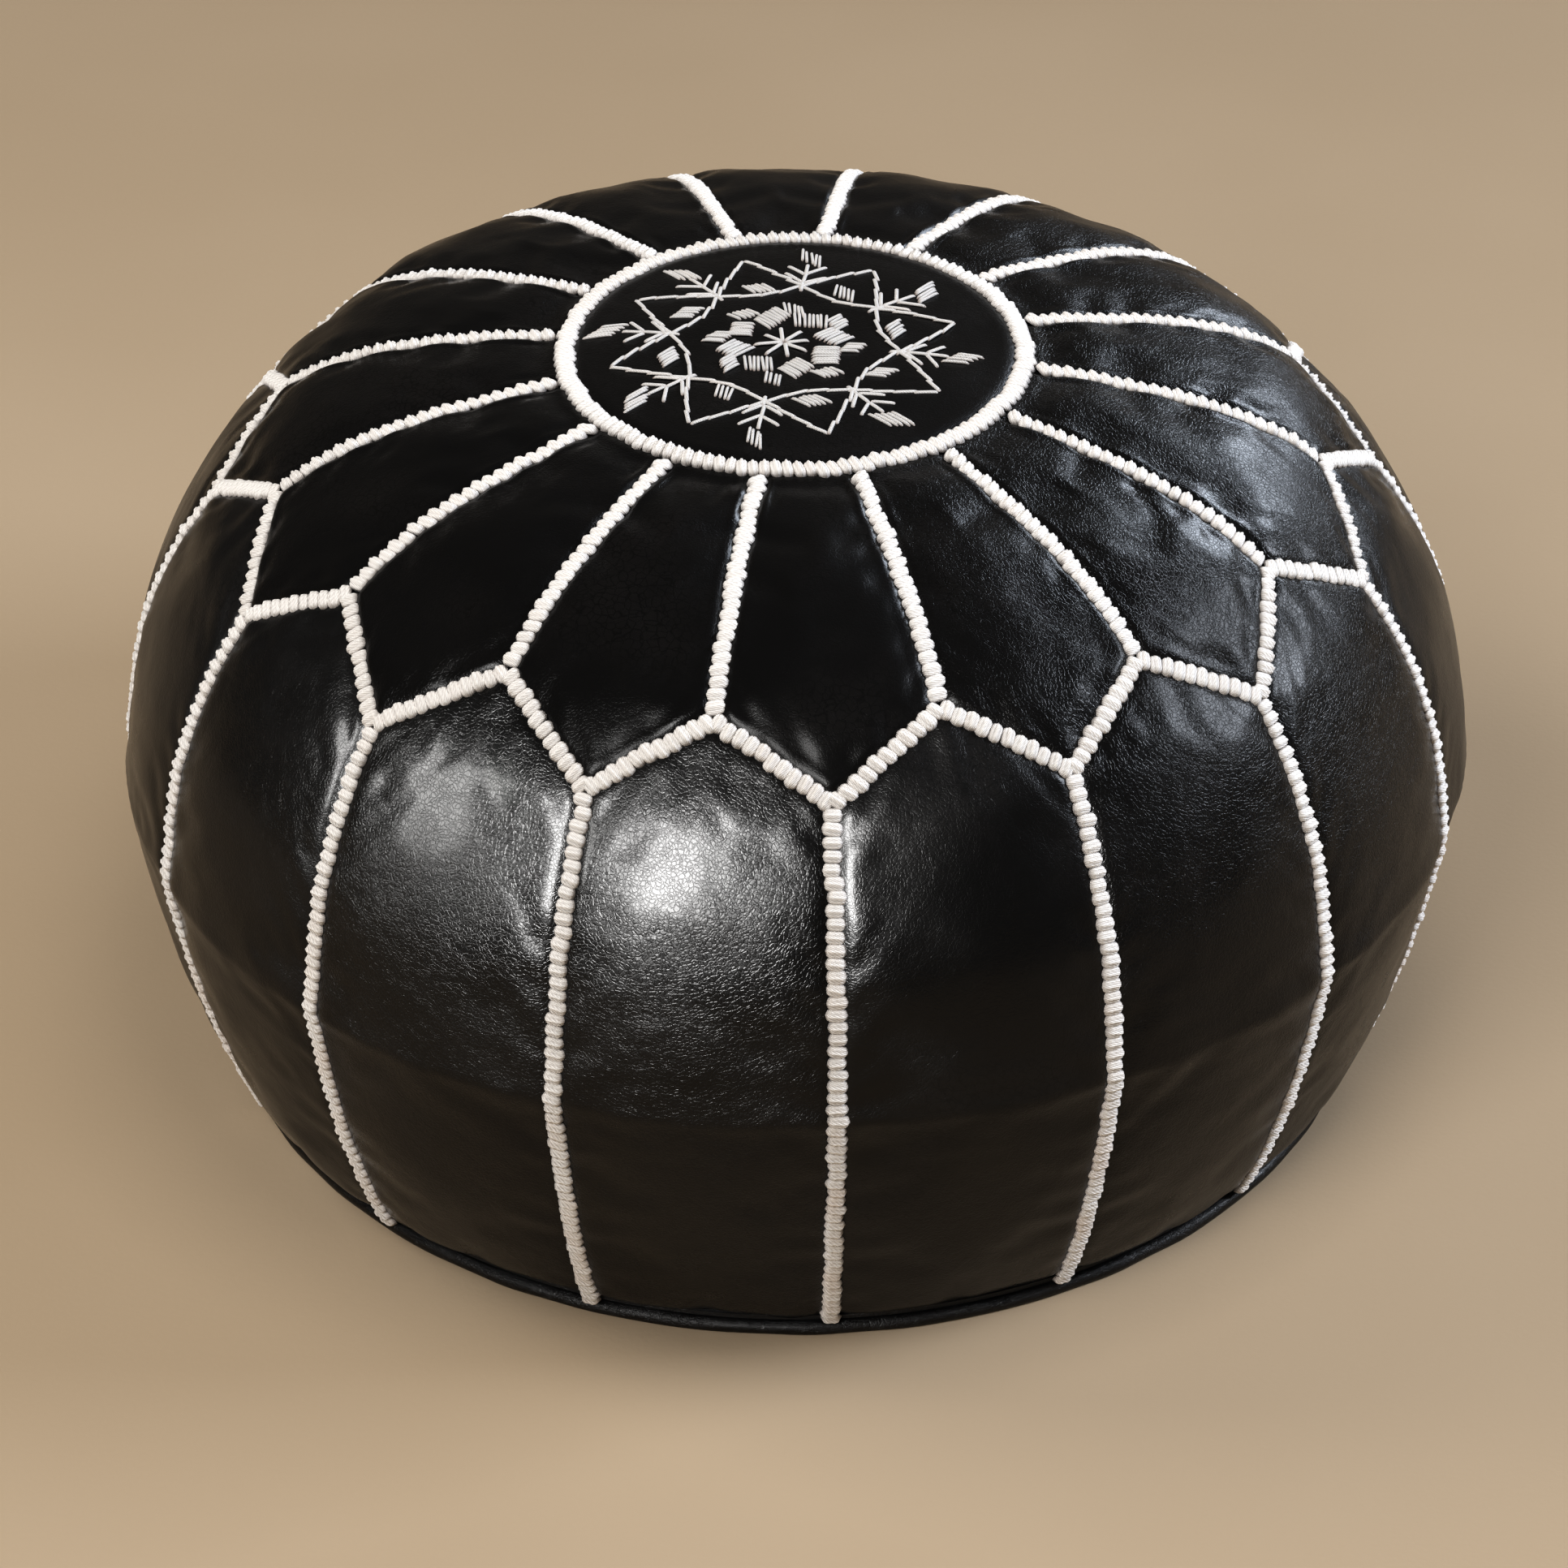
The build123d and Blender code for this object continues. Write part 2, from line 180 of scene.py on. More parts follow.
random.seed(11)
PEAK_ANGLES = [k * STEP + random.uniform(-ANGLE_DRIFT, ANGLE_DRIFT) for k in range(PANELS)]
VALLEY_ANGLES = [(k + 0.5) * STEP + random.uniform(-ANGLE_DRIFT, ANGLE_DRIFT) for k in range(PANELS)]
PEAK_ARCS = [PEAK_S + random.uniform(-POINT_DRIFT, POINT_DRIFT) * MM for _ in range(PANELS)]
VALLEY_ARCS = [VALLEY_S + random.uniform(-POINT_DRIFT, POINT_DRIFT) * MM for _ in range(PANELS)]


def columns(per_panel):
    """Angle and zigzag place of each upright line of the cover's mesh."""
    half = per_panel // 2
    angles, zigzag = [], []
    for k in range(PANELS):
        following = PEAK_ANGLES[(k + 1) % PANELS] + (2 * math.pi if k == PANELS - 1 else 0)
        legs = (
            (PEAK_ANGLES[k], VALLEY_ANGLES[k], PEAK_ARCS[k], VALLEY_ARCS[k]),
            (VALLEY_ANGLES[k], following, VALLEY_ARCS[k], PEAK_ARCS[(k + 1) % PANELS]),
        )
        for start, end, start_arc, end_arc in legs:
            for i in range(half):
                t = i / half
                angles.append(start + (end - start) * t)
                zigzag.append(start_arc + (end_arc - start_arc) * t - LEG_BOW * math.sin(math.pi * t))
    return np.array(angles), np.array(zigzag)


def cover_grid(per_panel, top_rows, side_rows):
    """Angles and outline places of the whole cover's mesh from the ring to the foot."""
    angles, zigzag = columns(per_panel)
    angles, zigzag = angles[:, None], zigzag[:, None]
    top = RING_S + (zigzag - RING_S) * np.linspace(0, 1, top_rows + 1)
    side = zigzag + (FOOT_S - zigzag) * np.linspace(0, 1, side_rows + 1)[1:]
    arcs = np.concatenate([top, side], axis=1)
    return np.repeat(angles, arcs.shape[1], axis=1), arcs


COARSE = (12, 16, 32)  # the simulated mesh: columns a panel, rows of the top and rows of the side
FINER = 4
FINE = tuple(count * FINER for count in COARSE)
SWELL = 2.4 * MM
SIMULATED_FRAMES = 20


def grid_faces(columns_count, rows_count, closed):
    """Quads of a grid whose points are stored column by column, with outward faces."""
    quads = []
    for i in range(columns_count if closed else columns_count - 1):
        here, there = i * rows_count, (i + 1) % columns_count * rows_count
        quads += [(here + j, here + j + 1, there + j + 1, there + j) for j in range(rows_count - 1)]
    return quads


def stuffed():
    """Cloth simulation: the cover, held at its seams, is filled until the leather is tight between them."""
    per_panel, top_rows, _ = COARSE
    angles, arcs = cover_grid(*COARSE)
    points = cover_place(angles, arcs)[0]
    count, rows = arcs.shape
    mesh = bpy.data.meshes.new("stuffing_trial")
    mesh.from_pydata(points.reshape(-1, 3).tolist(), [], grid_faces(count, rows, True))
    trial = bpy.data.objects.new("stuffing_trial", mesh)
    bpy.context.scene.collection.objects.link(trial)
    i, j = np.meshgrid(np.arange(count), np.arange(rows), indexing="ij")
    held = (j == 0) | (j == top_rows) | (j == rows - 1)
    held |= (i % per_panel == 0) & (j < top_rows)
    held |= (i % per_panel == per_panel // 2) & (j > top_rows)
    seams = trial.vertex_groups.new(name="seams")
    seams.add(np.flatnonzero(held.ravel()).tolist(), 1.0, "REPLACE")
    cloth = trial.modifiers.new("Cloth", "CLOTH").settings
    cloth.quality = 6
    cloth.mass = 0.25
    cloth.tension_stiffness = cloth.compression_stiffness = 22
    cloth.shear_stiffness = 12
    cloth.bending_stiffness = 0.35
    cloth.use_pressure = True
    cloth.uniform_pressure_force = 9
    cloth.shrink_min = -0.035
    cloth.vertex_group_mass = "seams"
    cloth.effector_weights.gravity = 0
    for step in range(1, SIMULATED_FRAMES + 1):
        bpy.context.scene.frame_set(step)
    settled = trial.evaluated_get(bpy.context.evaluated_depsgraph_get())
    moved = np.empty(count * rows * 3)
    settled.data.vertices.foreach_get("co", moved)
    bpy.context.scene.frame_set(1)
    bpy.data.objects.remove(trial)
    shift = moved.reshape(count, rows, 3) - points
    length = np.linalg.norm(shift, axis=2, keepdims=True)
    side = j > top_rows
    share = np.where(side, *(SWELL / np.percentile(length[part], 97) for part in (side, ~side)))
    return shift * np.minimum(1, share)[..., None] * (1 - held[..., None])


def doubled(values, axis, closed):
    """Twice as many points along one axis, each new one halfway along a smooth curve."""
    values = np.moveaxis(values, axis, 0)
    around = np.concatenate([values[-1:], values, values[:2]] if closed else
                            [values[:1], values, values[-1:]])
    middle = (9 * (around[1:-2] + around[2:-1]) - around[:-3] - around[3:]) / 16
    count = len(values) if closed else len(values) - 1
    out = np.empty((len(values) + count, *values.shape[1:]))
    out[0::2] = values
    out[1::2] = middle[:count]
    return np.moveaxis(out, 0, axis)


def finer(values):
    """The simulated shift, refined to the finished mesh, top and side panels apart."""
    top_rows = COARSE[1]
    parts = []
    for part in (values[:, : top_rows + 1], values[:, top_rows:]):
        for _ in range(int(math.log2(FINER))):
            part = doubled(doubled(part, 0, True), 1, False)
        parts.append(part)
    return np.concatenate([parts[0], parts[1][:, 1:]], axis=1)


def bump_field(points, size, seed):
    """Smooth noise from -1 to 1 at points, with lumps of about the given size."""
    offset = Vector((seed * 7.31, seed * 3.17, seed * 5.03))
    flat = points.reshape(-1, 3) / size
    return np.array([noise.noise(Vector(p) + offset) for p in flat]).reshape(points.shape[:-1])


def seam_distance(angles, arcs, top_rows):
    """Distance of each point from the nearest seam, and how near it is to the zigzag."""
    r = np.interp(arcs, ARC, OUTLINE[:, 0])
    peaks = np.array(PEAK_ANGLES + [PEAK_ANGLES[0] + 2 * math.pi])
    valleys = np.array([VALLEY_ANGLES[-1] - 2 * math.pi] + VALLEY_ANGLES + [VALLEY_ANGLES[0] + 2 * math.pi])
    to_peak = np.abs(angles[..., None] - peaks).min(-1) * r
    to_valley = np.abs(angles[..., None] - valleys).min(-1) * r
    to_zigzag = np.abs(arcs - arcs[:, top_rows : top_rows + 1]) * ZIGZAG_SLOPE
    top = np.arange(arcs.shape[1])[None, :] <= top_rows
    straight = np.where(top, to_peak, to_valley)
    end = np.where(top, arcs - RING_S, 1.0)
    return np.minimum(np.minimum(straight, to_zigzag), end), to_zigzag, straight


def hump(distance, middle, width):
    """One at a distance, and falling smoothly to nothing on both sides of it."""
    return np.exp(-(((distance - middle) / width) ** 2))


def away(distance, width):
    """Nothing at a seam, and rising smoothly to one."""
    return 1 - hump(distance, 0, width)


def patches(points, size, seed, level, contrast, least=0.0, most=1.0):
    """Where on the cover a wrinkle or a bead is strong, in patches of about the given size."""
    return np.clip(level + contrast * bump_field(points, size, seed), least, most)


def cover_points():
    """The finished outer surface of the top and side panels, and its normals.

    Depths are in millimetres, and so are the places and widths that go with d.
    """
    top_rows = FINE[1]
    angles, arcs = cover_grid(*FINE)
    points, normals = cover_place(angles, arcs)
    distance, to_zigzag, straight = seam_distance(angles, arcs, top_rows)
    d = distance / MM
    on_side = np.arange(arcs.shape[1])[None, :] > top_rows

    # The leather dips under each seam and is drawn up in a bead beside it.
    bead = np.where(on_side, 0.1, 0.55) * patches(points, 34 * MM, 10, 0.75, 0.9, 0.2, 1.5)
    lift = -1.5 * hump(d, 0, 3.2) + bead * hump(d, 5.4 + 0.8 * bump_field(points, 16 * MM, 11), 1.5)

    # The filling pushes it out in broad and in small lumps.
    inner = away(d, 9)
    for on_sides, on_top, size, seed in ((1.1, 1.8, 44 * MM, 1), (0.26, 0.75, 19 * MM, 2)):
        lift += np.where(on_side, on_sides, on_top) * inner * bump_field(points, size, seed)

    # Puckers run away from the zigzag seam.
    pucker = bump_field(points * (1, 1, 0.3), 8.5 * MM, 3)
    near_zigzag = np.exp(-to_zigzag / (15 * MM)) * away(d, 4.5)
    lift += 1.3 * near_zigzag * pucker * patches(points, 70 * MM, 4, 0.6, 1.6)

    # Level folds lie at the knee and, fainter, along the side seams.
    folds = bump_field(points * (0.35, 0.35, 1), 8.0 * MM, 5)
    at_knee = hump(arcs, KNEE_S - 8 * MM, 26 * MM) * np.exp(-straight / (60 * MM))
    lift += 1.2 * at_knee * folds * patches(points, 85 * MM, 6, 0.35, 1.9) * inner
    at_seam = np.exp(-straight / (13 * MM)) * (arcs > VALLEY_S) * away(d, 4)
    lift += 0.35 * at_seam * folds

    # The foot is tucked in.
    lift -= hump(FOOT_S - arcs, 0, 7 * MM) * (3.0 + 2.2 * bump_field(points, 24 * MM, 7))
    return points + finer(stuffed()) + normals * (lift * MM)[..., None], normals


# ---- Mesh helpers --------------------------------------------------------------------------------
def select_none():
    if bpy.context.object and bpy.context.object.mode != "OBJECT":
        bpy.ops.object.mode_set(mode="OBJECT")
    bpy.ops.object.select_all(action="DESELECT")


def finish_piece(obj, material, nodes=()):
    """Gives a piece its material and its place in the frame; every new piece rides on the pouf itself."""
    obj.data.materials.clear()
    obj.data.materials.append(finish(material))
    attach(obj, "pouf")
    if nodes:
        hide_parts(*nodes)


def mesh_piece(name, points, faces):
    """A new smooth piece from its points and faces."""
    mesh = bpy.data.meshes.new(name)
    mesh.from_pydata(np.asarray(points).reshape(-1, 3).tolist(), [], faces)
    mesh.polygons.foreach_set("use_smooth", [True] * len(mesh.polygons))
    mesh.update()
    obj = bpy.data.objects.new(name, mesh)
    bpy.context.scene.collection.objects.link(obj)
    return obj


def two_walls(name, outer, normals, thickness, faces):
    """A piece from the faces between a grid's points and the points of the same grid moved inwards."""
    inner = outer - normals * thickness
    return mesh_piece(name, np.concatenate([outer.reshape(-1, 3), inner.reshape(-1, 3)]), faces)


def shell(name, outer, normals, thickness):
    """A closed skin from a grid of outer points, thickened inwards."""
    count, rows = outer.shape[:2]
    skin = grid_faces(count, rows, False)
    size = count * rows
    faces = skin + [tuple(size + v for v in reversed(q)) for q in skin]
    rim = [i * rows for i in range(count)]
    rim += [(count - 1) * rows + j for j in range(1, rows)]
    rim += [i * rows + rows - 1 for i in range(count - 2, -1, -1)]
    rim += [j for j in range(rows - 2, 0, -1)]
    faces += [(b, a, size + a, size + b) for a, b in zip(rim, rim[1:] + rim[:1])]
    return two_walls(name, outer, normals, thickness, faces)


def round_skin(name, outer, normals, thickness=0.0):
    """A closed skin from a grid that goes all round the axis; without a thickness it is a solid lump."""
    count, rows = outer.shape[:2]
    size = count * rows
    crown = tuple(i * rows for i in range(count))
    hem = tuple(i * rows + rows - 1 for i in range(count))
    faces = [*grid_faces(count, rows, True), crown]
    if not thickness:
        return mesh_piece(name, outer, [*faces, tuple(reversed(hem))])
    faces += [tuple(size + v for v in reversed(face)) for face in faces]
    faces += [(a, size + a, size + b, b) for a, b in zip(hem, hem[1:] + hem[:1])]
    return two_walls(name, outer, normals, thickness, faces)


def attribute(obj, name, values):
    """Stores one number at each point of a piece, for its material."""
    layer = obj.data.attributes.new(name, "FLOAT", "POINT")
    layer.data.foreach_set("value", np.broadcast_to(values, len(obj.data.vertices)).astype(float))


def taken_apart(form):
    """The points and faces of a finished form, which is then removed."""
    points = np.array([v.co for v in form.data.vertices])
    faces = [tuple(f.vertices) for f in form.data.polygons]
    bpy.data.objects.remove(form)
    return points, faces


# ---- Materials -----------------------------------------------------------------------------------
def feed(tree, sockets, values):
    """Links outputs to sockets, or sets sockets to plain values, by their names or numbers."""
    for key, value in values.items():
        if isinstance(value, bpy.types.NodeSocket):
            tree.links.new(value, sockets[key])
        else:
            sockets[key].default_value = value


def add_node(tree, kind, inputs=None, **settings):
    """A shader node with its settings, its values and its links."""
    made = tree.nodes.new(kind)
    for key, value in settings.items():
        setattr(made, key, value)
    feed(tree, made.inputs, inputs or {})
    return made


def maths(tree, operation, first, second=0.0, third=0.0):
    """The result of one sum."""
    return add_node(tree, "ShaderNodeMath", {0: first, 1: second, 2: third}, operation=operation).outputs[0]


def ramp(tree, value, low, high, to_low=0.0, to_high=1.0):
    """A smooth step from one value to another."""
    limits = {"Value": value, "From Min": low, "From Max": high, "To Min": to_low, "To Max": to_high}
    return add_node(tree, "ShaderNodeMapRange", limits, interpolation_type="SMOOTHSTEP").outputs["Result"]


def mixed(tree, share, first, second):
    """A colour between two others, each a socket or its red, green and blue."""
    first, second = (c if isinstance(c, bpy.types.NodeSocket) else (*c, 1.0) for c in (first, second))
    return add_node(tree, "ShaderNodeMix", {0: share, 6: first, 7: second}, data_type="RGBA").outputs[2]


def noise_texture(tree, place, scale, detail, output="Fac", **more):
    """Soft noise with so many lumps a metre."""
    inputs = {"Vector": place, "Scale": scale, "Detail": detail, **more}
    return add_node(tree, "ShaderNodeTexNoise", inputs).outputs[output]


def cell_edges(tree, place, scale):
    """How far a place is from the edge of its cell, with so many cells a metre."""
    inputs = {"Vector": place, "Scale": scale}
    return add_node(tree, "ShaderNodeTexVoronoi", inputs, feature="DISTANCE_TO_EDGE").outputs["Distance"]


def parts_of(tree, vector):
    """The x, y and z of a vector."""
    return add_node(tree, "ShaderNodeSeparateXYZ", {0: vector}).outputs


def stored(tree, name):
    """A number that is stored at each point of a piece."""
    return add_node(tree, "ShaderNodeAttribute", attribute_name=name).outputs["Fac"]


def object_coordinates(tree):
    return add_node(tree, "ShaderNodeTexCoord").outputs["Object"]


def new_group(name, inputs, outputs):
    """An empty shader node group: an input without a default is a vector, and all else are numbers."""
    group = bpy.data.node_groups.new(name, "ShaderNodeTree")
    for label, default in inputs.items():
        kind = "NodeSocketVector" if default is None else "NodeSocketFloat"
        socket = group.interface.new_socket(label, in_out="INPUT", socket_type=kind)
        if default is not None:
            socket.default_value = default
    for label in outputs:
        group.interface.new_socket(label, in_out="OUTPUT", socket_type="NodeSocketFloat")
    return group, group.nodes.new("NodeGroupInput").outputs, group.nodes.new("NodeGroupOutput").inputs


def grain_group():
    """Pebbled hide: small cells, a net of creases and a slow mottle, as a height in millimetres, and a mask
    that paints shade into the creases.
    """
    tree, given, out = new_group(
        "hide_grain",
        {"Vector": None, "Pebble": 0.06, "Crease": 0.12, "Ripple": 0.2, "Cells per metre": 680.0},
        ("Height", "Mottle", "Crease shade"),
    )
    place = given["Vector"]
    wander = noise_texture(tree, place, 160.0, 2.0, output="Color")
    bent = {0: wander, 1: (0.004, 0.004, 0.004), 2: place}
    bent = add_node(tree, "ShaderNodeVectorMath", bent, operation="MULTIPLY_ADD").outputs[0]
    pebbles = ramp(tree, cell_edges(tree, bent, given["Cells per metre"]), 0.0, 0.17)
    creases = ramp(tree, cell_edges(tree, bent, 310.0), 0.0, 0.11)
    ripple = noise_texture(tree, place, 95.0, 2.5, Distortion=1.4)
    mottle = noise_texture(tree, place, 22.0, 5.0)
    fine = noise_texture(tree, place, 1900.0, 2.0)
    where = ramp(tree, mottle, 0.42, 0.62)
    height = maths(tree, "MULTIPLY", pebbles, given["Pebble"])
    height = maths(tree, "MULTIPLY_ADD", maths(tree, "MULTIPLY", creases, where), given["Crease"], height)
    height = maths(tree, "MULTIPLY_ADD", fine, 0.012, height)
    height = maths(tree, "MULTIPLY_ADD", ripple, given["Ripple"], height)
    # Painted shade: the lines of the creases, where the mottle lets them show, get a darker colour.
    painted_shade = maths(tree, "MULTIPLY", maths(tree, "SUBTRACT", 1.0, creases), where)
    feed(tree, out, {"Height": height, "Mottle": mottle, "Crease shade": painted_shade})


def strand_group():
    """Twisted thread seen close: strands across the UV map's V, as a height and a shade."""
    inputs = {"UV": None, "Strands": 3.0, "Twist": 0.6}
    tree, given, out = new_group("thread_strands", inputs, ("Height", "Shade"))
    along, across, _ = parts_of(tree, given["UV"])
    slant = maths(tree, "MULTIPLY_ADD", along, given["Twist"], across)
    turns = maths(tree, "MULTIPLY", maths(tree, "MULTIPLY", slant, given["Strands"]), 2 * math.pi)
    wave = maths(tree, "MULTIPLY_ADD", maths(tree, "COSINE", turns), 0.5, 0.5)
    fibre = noise_texture(tree, given["UV"], 14.0, 3.0)
    feed(tree, out, {"Height": maths(tree, "MULTIPLY_ADD", fibre, 0.5, wave), "Shade": wave})


def weave_group():
    """Plain weave on object coordinates, as a height."""
    inputs = {"Vector": None, "Threads per metre": 1100.0}
    tree, given, out = new_group("plain_weave", inputs, ("Height", "Slub"))
    waves = []
    for part in parts_of(tree, given["Vector"])[:2]:
        turns = maths(tree, "MULTIPLY", part, given["Threads per metre"])
        waves.append(maths(tree, "SINE", maths(tree, "MULTIPLY", turns, math.pi)))
    slub = noise_texture(tree, given["Vector"], 400.0, 3.0)
    height = maths(tree, "ABSOLUTE", maths(tree, "MULTIPLY", *waves))
    feed(tree, out, {"Height": maths(tree, "MULTIPLY_ADD", slub, 0.6, height), "Slub": slub})


def place_group(tree, name, inputs):
    return add_node(tree, "ShaderNodeGroup", inputs, node_tree=bpy.data.node_groups[name]).outputs


def new_material(name, **constants):
    """A material's node tree and its shader's inputs; constants go straight onto them."""
    material = bpy.data.materials.new(f"finish_{name}")
    material.use_nodes = True
    shader = material.node_tree.nodes["Principled BSDF"].inputs
    for key, value in constants.items():
        shader[key.replace("_", " ")].default_value = value
    return material.node_tree, shader


def surface(tree, shader, base_colour, roughness, height, depth=MM):
    """Feeds a shader its colour, its roughness and its relief."""
    relief = add_node(tree, "ShaderNodeBump", {"Height": height, "Strength": 1.0, "Distance": depth})
    feed(tree, shader, {"Base Color": base_colour, "Roughness": roughness, "Normal": relief.outputs[0]})


def finish(name):
    """One of the finishes made by the first operator; the frame's own plain materials keep their names."""
    return bpy.data.materials[f"finish_{name}"]


def leather_material(colours):
    """Glossy black hide whose grain is bolder on some panels than on others, with painted shade in its
    creases.
    """
    tree, shader = new_material("black_leather", Specular_IOR_Level=0.2, Coat_Roughness=0.14)
    bold = stored(tree, "boldness")
    relief = {"Pebble": (0.06, 0.012), "Crease": (0.06, 0.010), "Ripple": (0.22, 0.08)}
    inputs = {key: maths(tree, "MULTIPLY_ADD", bold, *values) for key, values in relief.items()}
    grain = place_group(tree, "hide_grain", {"Vector": object_coordinates(tree), **inputs})
    mottle = grain["Mottle"]
    worn = mixed(tree, ramp(tree, mottle, 0.4, 0.72), colours.leather, colours.worn)
    # Painted shade: the leather is made darker in the creases of its grain.
    shade = mixed(tree, grain["Crease shade"], worn, colours.crease_shade)
    surface(tree, shader, shade, ramp(tree, mottle, 0.3, 0.7, 0.25, 0.36), grain["Height"])
    feed(tree, shader, {"Coat Weight": ramp(tree, mottle, 0.35, 0.7, 0.10, 0.02)})


def even_hide(name, tones, spread, roughness, pebble, cells, **constants):
    """Black hide with an even grain, as on the base and the piping."""
    tree, shader = new_material(name, **constants)
    inputs = {"Vector": object_coordinates(tree), "Pebble": pebble, "Cells per metre": cells}
    grain = place_group(tree, "hide_grain", inputs)
    shade = mixed(tree, ramp(tree, grain["Mottle"], *spread), *tones)
    surface(tree, shader, shade, ramp(tree, grain["Mottle"], 0.3, 0.7, *roughness), grain["Height"])


def thread_material(colours, name, clean, strands, twist, ends):
    """White thread: strands on the UV map, a darker, warmer tone towards the bottom and in blotches, and
    painted shade where a stitch goes into the leather.
    """
    tree, shader = new_material(name, Sheen_Weight=0.25, Sheen_Roughness=0.4)
    uv = add_node(tree, "ShaderNodeUVMap", uv_map="strand").outputs[0]
    place = object_coordinates(tree)
    strand = place_group(tree, "thread_strands", {"UV": uv, "Strands": strands, "Twist": twist})
    # A darker, warmer tone, growing towards the bottom, in blotches and from stitch to stitch.
    low = ramp(tree, parts_of(tree, place)[2], 0.24, 0.02)
    smudge = ramp(tree, noise_texture(tree, place, 45.0, 4.0), 0.35, 0.75)
    low_blotches = maths(tree, "MULTIPLY", maths(tree, "MULTIPLY_ADD", stored(tree, "tint"), 0.3, low), smudge)
    shade = mixed(tree, low_blotches, clean, colours.lower_thread_tone)
    shade = mixed(tree, ramp(tree, strand["Shade"], 0.32, 0.0, 0.0, 0.5), shade, colours.thread_shadow)
    # Painted shade: a dark brown where a stitch sinks into the leather and in the dips between its strands.
    shade = mixed(tree, maths(tree, "MULTIPLY", stored(tree, "painted_shade"), ends), shade, colours.thread_end_shade)
    roughness = ramp(tree, strand["Shade"], 0.0, 1.0, 0.75, 0.48)
    surface(tree, shader, shade, roughness, strand["Height"], 0.12 * MM)


def cloth_material(name, dark, light, threads, roughness):
    """Woven or matted cloth between two shades."""
    tree, shader = new_material(name, Sheen_Weight=0.2)
    inputs = {"Vector": object_coordinates(tree), "Threads per metre": threads}
    weave = place_group(tree, "plain_weave", inputs)
    shade = mixed(tree, ramp(tree, weave["Slub"], 0.3, 0.7), dark, light)
    rough = ramp(tree, weave["Slub"], 0.2, 0.8, roughness, roughness + 0.1)
    surface(tree, shader, shade, rough, weave["Height"], 0.25 * MM)


def nylon_material(colours):
    """Moulded zip teeth, polished by wear in places."""
    tree, shader = new_material("zip_nylon")
    flow = noise_texture(tree, object_coordinates(tree), 900.0, 3.0)
    shade = mixed(tree, ramp(tree, flow, 0.35, 0.7), colours.nylon, colours.nylon_worn)
    surface(tree, shader, shade, ramp(tree, flow, 0.3, 0.7, 0.3, 0.5), flow, 0.08 * MM)


def nickel_material(colours):
    """Plated zip metal with fine scratches and small dull patches."""
    tree, shader = new_material("zip_metal", Metallic=1.0)
    place = object_coordinates(tree)
    stretched = add_node(tree, "ShaderNodeMapping", {"Vector": place, "Scale": (180.0, 2600.0, 900.0)})
    scratches = noise_texture(tree, stretched.outputs[0], 1.0, 4.0)
    dull = ramp(tree, noise_texture(tree, place, 260.0, 3.0), 0.45, 0.7)
    shade = mixed(tree, dull, colours.nickel, colours.nickel_dull)
    rough = maths(tree, "MULTIPLY_ADD", dull, 0.15, ramp(tree, scratches, 0.3, 0.7, 0.2, 0.36))
    surface(tree, shader, shade, rough, scratches, 0.03 * MM)


def floor_material(colours):
    """Pale painted studio floor with a faint, slow mottle."""
    tree, shader = new_material("floor", Specular_IOR_Level=0.04)
    place = object_coordinates(tree)
    wide = noise_texture(tree, place, 2.2, 3.0)
    tooth = noise_texture(tree, place, 420.0, 3.0)
    shade = mixed(tree, ramp(tree, wide, 0.3, 0.7), colours.floor, colours.floor_light)
    surface(tree, shader, shade, ramp(tree, tooth, 0.3, 0.7, 0.75, 0.9), tooth, 0.1 * MM)


# ---- Properties ----------------------------------------------------------------------------------
def length_property(name, description, default):
    return bpy.props.FloatProperty(name=name, description=description, default=default, min=0, unit="LENGTH")


def colour_property(name, description, default):
    return bpy.props.FloatVectorProperty(
        name=name, description=description, default=default, size=3, min=0, max=1, subtype="COLOR"
    )


class PoufSizes(bpy.types.PropertyGroup):
    """Sizes of the hand-sewn seams and the embroidery."""

    seam_width: length_property("Seam width", "Width of the white seams", 8.8 * MM)
    seam_height: length_property("Seam height", "How far a stitch stands up from the leather", 3.5 * MM)
    stitch_pitch: length_property("Stitch pitch", "Distance from one stitch to the next", 4.9 * MM)
    ring_width: length_property("Ring width", "Width of the ring of stitches", 9.6 * MM)
    ring_pitch: length_property("Ring pitch", "Distance between the ring's stitches", 4.3 * MM)
    thread_width: length_property("Thread width", "Width of one embroidery thread", 1.35 * MM)
    piping_radius: length_property("Piping radius", "Radius of the rolled piping", 3.3 * MM)


